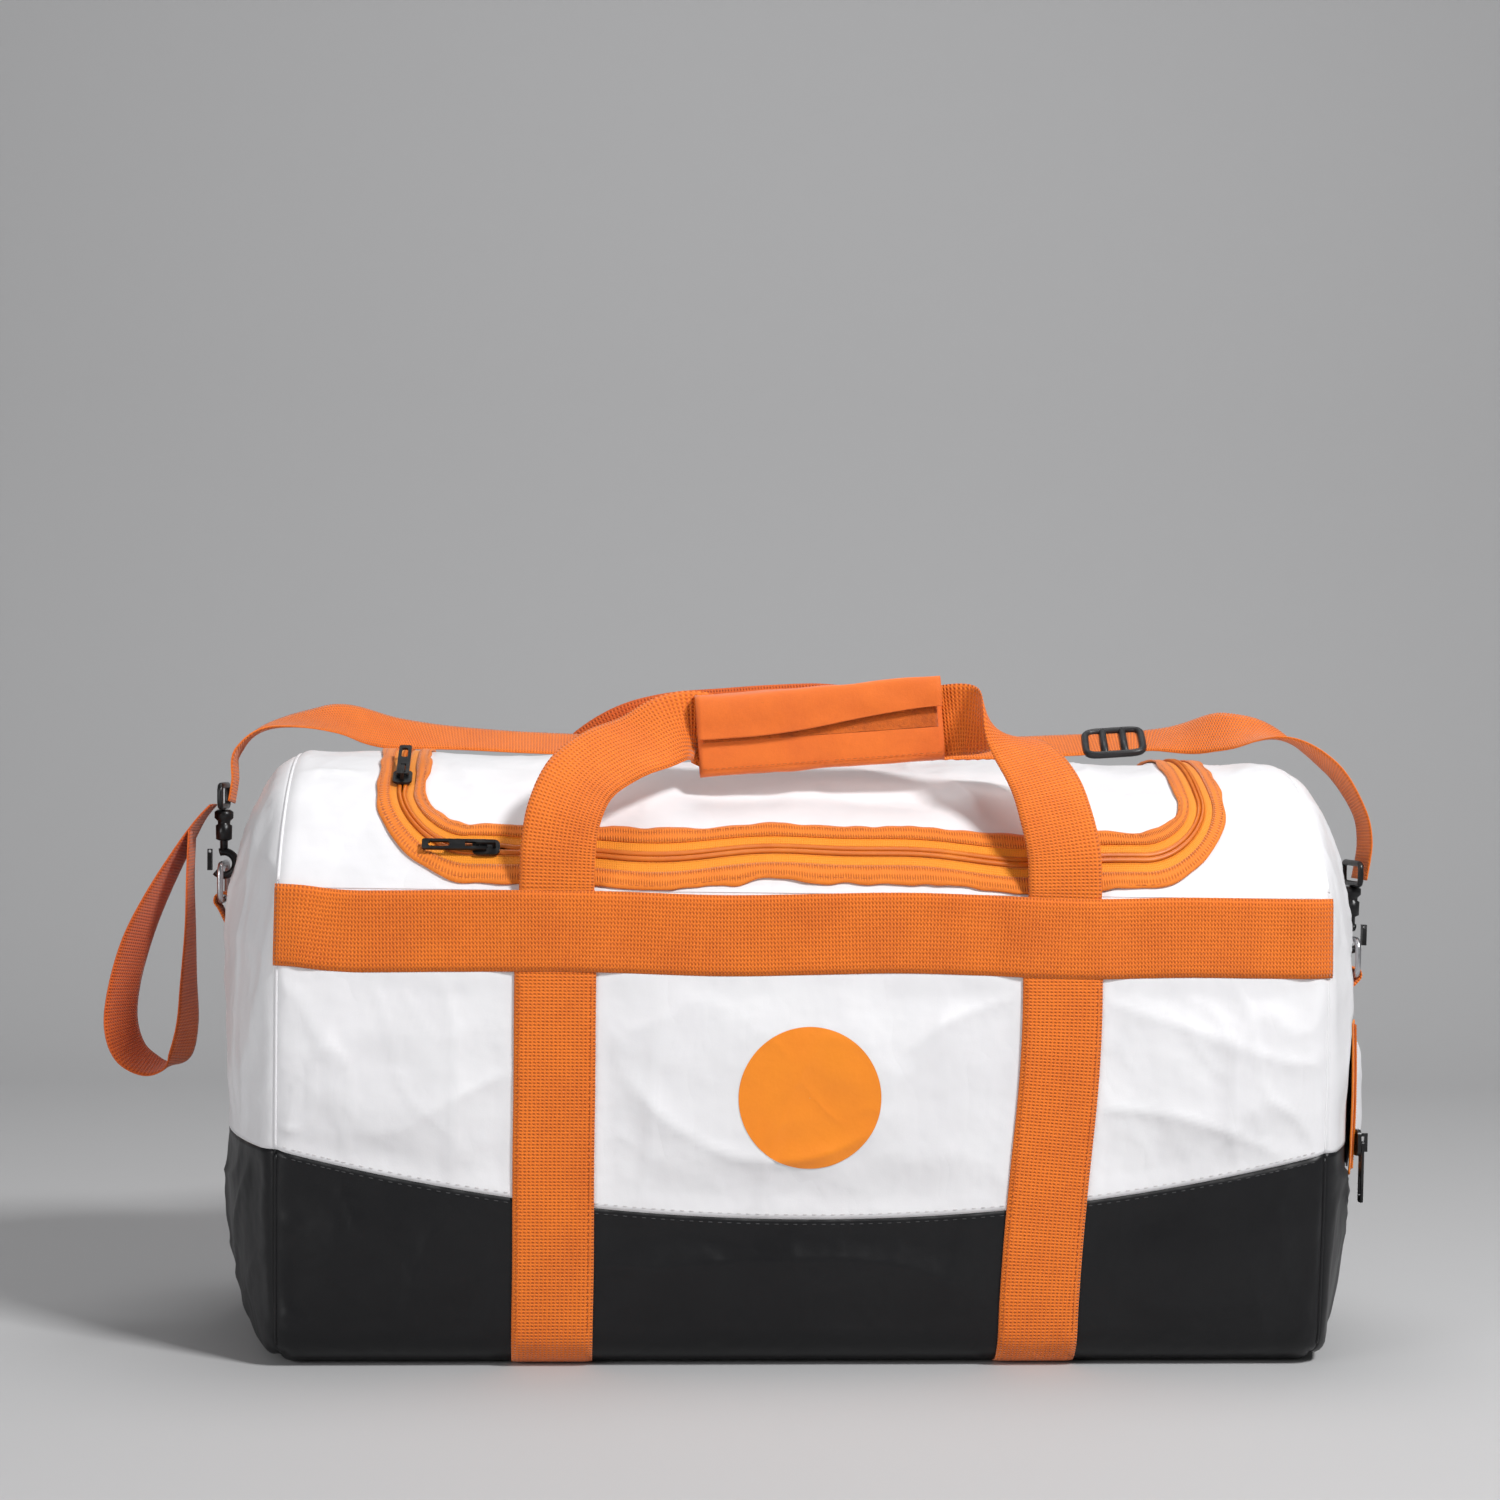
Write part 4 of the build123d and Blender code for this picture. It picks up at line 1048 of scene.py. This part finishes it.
LOOP_TILT = (0.42, 0.9, 0.12)
# The spare loop takes the darker webbing, which carries painted shade.
ribbon(
    "spare_loop",
    [
        ((-LEFT_X - 7, 0, LEFT_EYE - 6), (0, 1, 0)), ((-392, 0, 332), (0.05, 1, 0)),
        ((-404, 0, 312), (0.2, 1, 0.05)), ((-419, 0, 284), (0.34, 0.94, 0.1)),
        ((-432, 0, 254), LOOP_TILT), ((-441, 0, 222), LOOP_TILT),
        ((-443, 0, 197), LOOP_TILT), ((-436, 0, 178), LOOP_TILT),
        ((-420, 0, 169), LOOP_TILT), ((-406, 0, 174), (0.36, 0.9, 0.12)),
        ((-400, 0, 196), (0.26, 0.95, 0.05)), ((-399, 0, 226), (0.15, 1, 0)),
        ((-398, 0, 262), (0.05, 1, 0)), ((-398, 0, 296), (0, 1, 0)),
        ((-397, 0, 326), (0, 1, 0)),
    ],
    SHOULDER_WEB, SHADED_WEBBING, "bag", ["strap_loop"], 8, wobble=0.4, seed=61.0,
)


def rods(name, curves, rod, mat, slot, body, nodes=(), out=(0, 1, 0), flat=1.0):
    """Round rods along lists of points. Each list is (points, closed)."""
    points, faces = [], []
    around = circle(12)
    for line, closed in curves:
        line = [Vector(p) for p in line]
        count = len(line)
        faces += tube_faces(count, len(around), "joined" if closed else "capped", len(points))
        for i, p in enumerate(line):
            before = line[(i - 1) % count] if closed else line[max(i - 1, 0)]
            after = line[(i + 1) % count] if closed else line[min(i + 1, count - 1)]
            direction = (after - before).normalized()
            side = direction.cross(Vector(out))
            if side.length < 0.05:
                side = direction.cross(Vector((1, 0, 0)))
            side.normalize()
            lift = side.cross(direction).normalized()
            points += [p + side * (rod * c) + lift * (rod * flat * n) for c, n in around]
    make(name, points, faces, None, mat, slot, body, nodes)


def adjuster():
    """Rounded rectangular frame of rod with two cross bars, where the strap passes through."""
    start, end = Vector((204, 101, 391)), Vector((264, 92, 396))
    centre = (start + end) / 2
    along = (end - start).normalized()
    wide = Vector((0, 0.92, 0.37))
    wide = (wide - along * wide.dot(along)).normalized()
    half_along, half_wide, rod, power = 20.0, 21.5, 2.6, 0.35
    ring = []
    for c, n in circle(32):
        a = half_along * math.copysign(abs(c) ** power, c)
        w = half_wide * math.copysign(abs(n) ** power, n)
        ring.append(centre + along * a + wide * w)
    curves = [(ring, True)]
    for place in (-7.0, 7.0):
        middle = centre + along * place
        curves.append(([middle - wide * half_wide, middle + wide * half_wide], False))
    out = wide.cross(along).normalized()
    rods("adjuster", curves, rod, BLACK_PLASTIC, "black_plastic", "bag", ["strap_adjuster"], out)


adjuster()


# Rings, their tabs, and the hooks

def corner_loop(x, half, low, high, corner, count):
    """Rounded rectangle across the bag, from the middles of its corners' arcs."""
    loop = []
    for y, z, start in ((half, high, 0), (-half, high, 90), (-half, low, 180), (half, low, 270)):
        for k in range(count):
            a = math.radians(start + 90 / (count - 1) * k)
            loop.append((x, y + corner * math.cos(a), z + corner * math.sin(a)))
    return loop


def lathe(name, x, rows, mat, slot, body):
    """Round solid on an upright line. rows gives (height, radius)."""
    around = circle(28)
    points = [(x + r * c, r * n, z) for z, r in rows for c, n in around]
    make(name, points, tube_faces(len(rows), len(around), "capped"), None, mat, slot, body)


def hook_set(end, word, ring_z, eye_z, reach):
    """A ring, its tab and the strap's hook at one end of the bag."""
    x = end * reach
    bar = ring_z - RING_HEIGHT
    ring = corner_loop(x, 13, bar + 7, ring_z - 7, 7, 7)
    rods(f"{word}_wire_ring", [(ring, True)], 2.0, STEEL, "steel", "bag", [f"{word}_ring"], (1, 0, 0))
    # Tab: webbing folded round the ring's lower bar and sewn to the end of the bag
    root = end * (end_profile(bar - 20) + 1.0)
    path = [
        (root, bar - 22), (root, bar - 12), (root + end * 3, bar), (x - end * 3, bar + 4.6),
        (x + end * 3.4, bar + 3.4), (x + end * 4.6, bar - 1), (x + end * 2, bar - 5),
        (root + end * 6, bar - 12), (root + end * 2.4, bar - 20),
    ]
    stations = [((px, 0, pz), (0, 1, 0)) for px, pz in path]
    ribbon(f"{word}_tab_webbing", stations, 26, WEBBING, "bag", [f"{word}_ring_tab"], 6, thickness=1.8)
    # Hook: a bent arm open towards the outside, a swivel, and an eye for the webbing
    arm, arm_radius = [], 7.8
    for k in range(25):
        a = math.radians(70 + k * 245 / 24)
        arm.append((x + end * arm_radius * math.cos(a), 0, ring_z + arm_radius * math.sin(a)))
    stem = [(x, 0, ring_z + rise) for rise in (7.6, 16, 30)]
    rods(
        f"{word}_snap_hook", [(arm, False), (stem, False)], 2.6, BLACK_METAL, "black_plastic", "bag",
        [f"{word}_hook"], flat=1.45,
    )
    eye = corner_loop(x, 17, eye_z - 3, eye_z + 3, 4, 5)
    rods(f"{word}_hook_eye", [(eye, True)], 2.0, BLACK_METAL, "black_plastic", "bag", out=(1, 0, 0))
    swivel = [(15, 3.2), (16, 5.2), (25, 5.4), (26, 4.0), (28, 4.2), (30, 6.2), (34, 6.2), (35.5, 4.0)]
    swivel = [(ring_z + rise, radius) for rise, radius in swivel]
    lathe(f"{word}_swivel", x, swivel, BLACK_METAL, "black_plastic", "bag")


hook_set(-1, "left", LEFT_RING, LEFT_EYE, LEFT_X)
hook_set(1, "right", RIGHT_RING, RIGHT_EYE, RIGHT_X)


# Pocket on the right end: a swollen flap of cloth with an upright zip along its front

POCKET_LOW, POCKET_HIGH = 118.0, 212.0
POCKET_FRONT, POCKET_BACK = -110.0, 95.0
POCKET_ZIP = -96.0


def pocket_face(y, z):
    u = clamp((y - POCKET_FRONT) / (POCKET_BACK - POCKET_FRONT))
    v = clamp((z - POCKET_LOW) / (POCKET_HIGH - POCKET_LOW))
    swell = smooth(u * 4.5) * smooth((1 - u) * 3.5) * smooth(v * 4) * smooth((1 - v) * 4)
    wave = 0.8 * rough(y, 5, z, 36) + 1.4 * crease(y * 0.5, 2, z, 46)
    return end_reach(y) + 1.8 + swell * (8.0 + wave)


def pocket_skin(u, v):
    y, z = mix(POCKET_ZIP + 9, POCKET_BACK, u), mix(POCKET_LOW, POCKET_HIGH, v)
    return Vector((pocket_face(y, z), y, z))


sheet_piece(
    "pocket_face", 40, 70, pocket_skin, WHITE, "white_cloth", "bag", ["right_pocket_panel"], 1.2, False
)


def pocket_strip(name, low, high, lift, mat, columns, nodes, thickness, wide):
    """Strip of cloth beside the pocket's zip, between two distances from its coil."""
    low, high = POCKET_ZIP + low, POCKET_ZIP + high
    def point(u, v):
        z = mix(POCKET_LOW - 2, POCKET_HIGH + 2, v)
        y = mix(low, high, u) + 0.5 * rough(z, low, 0, 15)
        bow = 1.2 * math.sin(math.pi * v)
        return Vector((end_reach(y) + 3.4 + bow + lift, y, z))
    sheet_piece(name, 44, columns, point, mat, "zip_tape", "bag", nodes, thickness, False, (wide, 94))


pocket_strip("pocket_tape", -12, 12, 0, ZIP_TAPE, 8, ["pocket_zip_tapes"], 0.8, 24)
pocket_strip("pocket_binding_front", -15, -8, 0.6, BINDING, 4, [], 1.0, 7)
pocket_strip("pocket_binding_rear", 8, 15, 0.6, BINDING, 4, [], 1.0, 7)


def pocket_bead(t, c, n, tooth):
    x = end_reach(POCKET_ZIP) + 4.3 + 1.2 * math.sin(math.pi * t)
    ridge = 0.25 * tooth
    return (x + (1.0 + ridge) * n, POCKET_ZIP + (1.9 + ridge) * c, mix(POCKET_LOW, POCKET_HIGH, t))


coil("pocket_coil", 110, pocket_bead, "bag", flip=False)


def pocket_stitch(y, z):
    """Place and direction of the pocket's stitching."""
    return (Vector((pocket_face(y, z) + 0.4, y, z)), (1, 0, 0))


pocket_edges = []
for z in (POCKET_LOW + 3, POCKET_HIGH - 3):
    pocket_edges.append([pocket_stitch(POCKET_ZIP + 9 + k * 4, z) for k in range(44)])
pocket_edges.append([pocket_stitch(POCKET_BACK - 3, z) for z in range(121, 210, 3)])
stitches("pocket_stitches", pocket_edges, PALE_THREAD, "white_cloth", "bag")


# Generic print: a plain disc on the front

MARK_Z = 170.0
MARK_RADIUS = 44.0


def print_disc():
    """Thin sheet of ink that follows the front wall."""
    rings, around = 22, circle(120)
    points = []
    for i in range(rings + 1):
        r = mix(0.2, MARK_RADIUS, i / rings)
        points += [wall_point(-1, r * c, MARK_Z + r * n) + Vector((0, -0.35, 0)) for c, n in around]
    faces = tube_faces(rings + 1, len(around))
    make("print_disc", points, faces, None, PRINT, "print", "bag", ["front_mark"])


print_disc()


# Seams and stitching on the body

def wall_runs(side, rise):
    """Lines of stitching along the seam of the base, at a height above it, clear of the straps."""
    runs, reach, steps = [[]], HALF_LENGTH - 8, 220
    for i in range(steps + 1):
        x = mix(-reach, reach, i / steps)
        z = seam_height(x) + rise
        if strap_distance(x, z) >= -1:
            runs[-1].append((wall_point(side, x, z) + Vector((0, side * 0.3, 0)), (0, side, 0)))
        elif runs[-1]:
            runs.append([])
    return runs


for side, word in WALLS:
    stitches(f"{word}_seam_stitches", wall_runs(side, -3.2), DARK_THREAD, "black_cloth", "bag")
    stitches(f"{word}_white_stitches", wall_runs(side, 3.0), PALE_THREAD, "white_cloth", "bag")


def strap_run(side, end, edge):
    """Line of stitching up one edge of an upright strap."""
    rows = []
    for z in range(24, 244, 4):
        x = end * STRAP_X + strap_lean(end, z) + edge
        rows.append((Vector((x, side * (wall_depth(z) + 2.1), z)), (0, side, 0)))
    return rows


for side, word in WALLS:
    runs = [strap_run(side, end, edge) for end in (-1, 1) for edge in (-22.0, 22.0)]
    stitches(f"{word}_upright_stitches", runs, THREAD, "webbing", "bag")


def seam_cord(name, line, mat, slot):
    """Low welt where two panels are sewn together."""
    rods(name, [(line, False)], 1.1, mat, slot, "bag")


for end, word in ENDS:
    for side, depth_word in WALLS:
        upper, lower = [], []
        for i in range(81):
            z = mix(14, EDGE_TOP - 2, i / 80)
            spot = soften((end * HALF_LENGTH, side * wall_depth(z), z)) + Vector((end, side, 0)) * -0.2
            (lower if z < SEAM_END else upper).append(spot)
        seam_cord(f"{word}_{depth_word}_seam", upper, WHITE, "white_cloth")
        seam_cord(f"{word}_{depth_word}_base_seam", lower, BLACK, "black_cloth")
    arch = [mix(-HALF_DEPTH + 4, HALF_DEPTH - 4, i / 120) for i in range(121)]
    arch = [soften((end * HALF_LENGTH, y, dome(y))) for y in arch]
    seam_cord(f"{word}_top_seam", arch, WHITE, "white_cloth")


# The CAD nodes that stay in the picture get their finishes

FINISHES = {"base_board": BOARD}
for word in ("front", "left", "pocket"):
    FINISHES[f"{word}_slider"] = FINISHES[f"{word}_pull"] = BLACK_METAL
for word in ("left", "right"):
    FINISHES[f"{word}_hook_gate"] = BLACK_METAL
for name, mat in FINISHES.items():
    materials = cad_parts[name].data.materials
    materials.clear()
    materials.append(mat)


# Floor, backdrop and light

def stage():
    """Paper sweep under and behind the bag."""
    bend, radius = 1400, 900
    profile = [(-3000, 0), (bend, 0)]
    for k in range(1, 13):
        a = math.radians(90 * k / 12)
        profile.append((bend + radius * math.sin(a), radius - radius * math.cos(a)))
    profile.append((bend + radius, 5000))
    points = [(x, y, z - 0.6) for y, z in profile for x in (-6000, 6000)]
    faces = [(2 * i, 2 * i + 1, 2 * i + 3, 2 * i + 2) for i in range(len(profile) - 1)]
    build("floor", points, faces, material("floor_paper", (0.50, 0.50, 0.505), 0.8)[0])


def lamp(name, place, size, power):
    """Square lamp, its side and its power given, aimed at the lower half of the bag."""
    data = bpy.data.lights.new(name, "AREA")
    data.shape = "RECTANGLE"
    data.size = data.size_y = size
    data.energy = power
    light = put(name, data)
    light.location = place
    light.rotation_euler = (Vector((0, 0, 0.2)) - Vector(place)).to_track_quat("-Z", "Y").to_euler()


stage()
lamp("key", (1.3, -1.7, 2.3), 0.5, 78)
lamp("fill", (-2.4, -2.2, 1.0), 1.4, 30)
lamp("top", (0.2, 0.5, 2.6), 1.2, 16)
world = bpy.data.worlds.new("world")
world.use_nodes = True
background = world.node_tree.nodes["Background"].inputs
background["Color"].default_value = (0.8, 0.81, 0.83, 1)
background["Strength"].default_value = 0.2
bpy.context.scene.world = world
bpy.context.scene.view_settings.view_transform = "Standard"
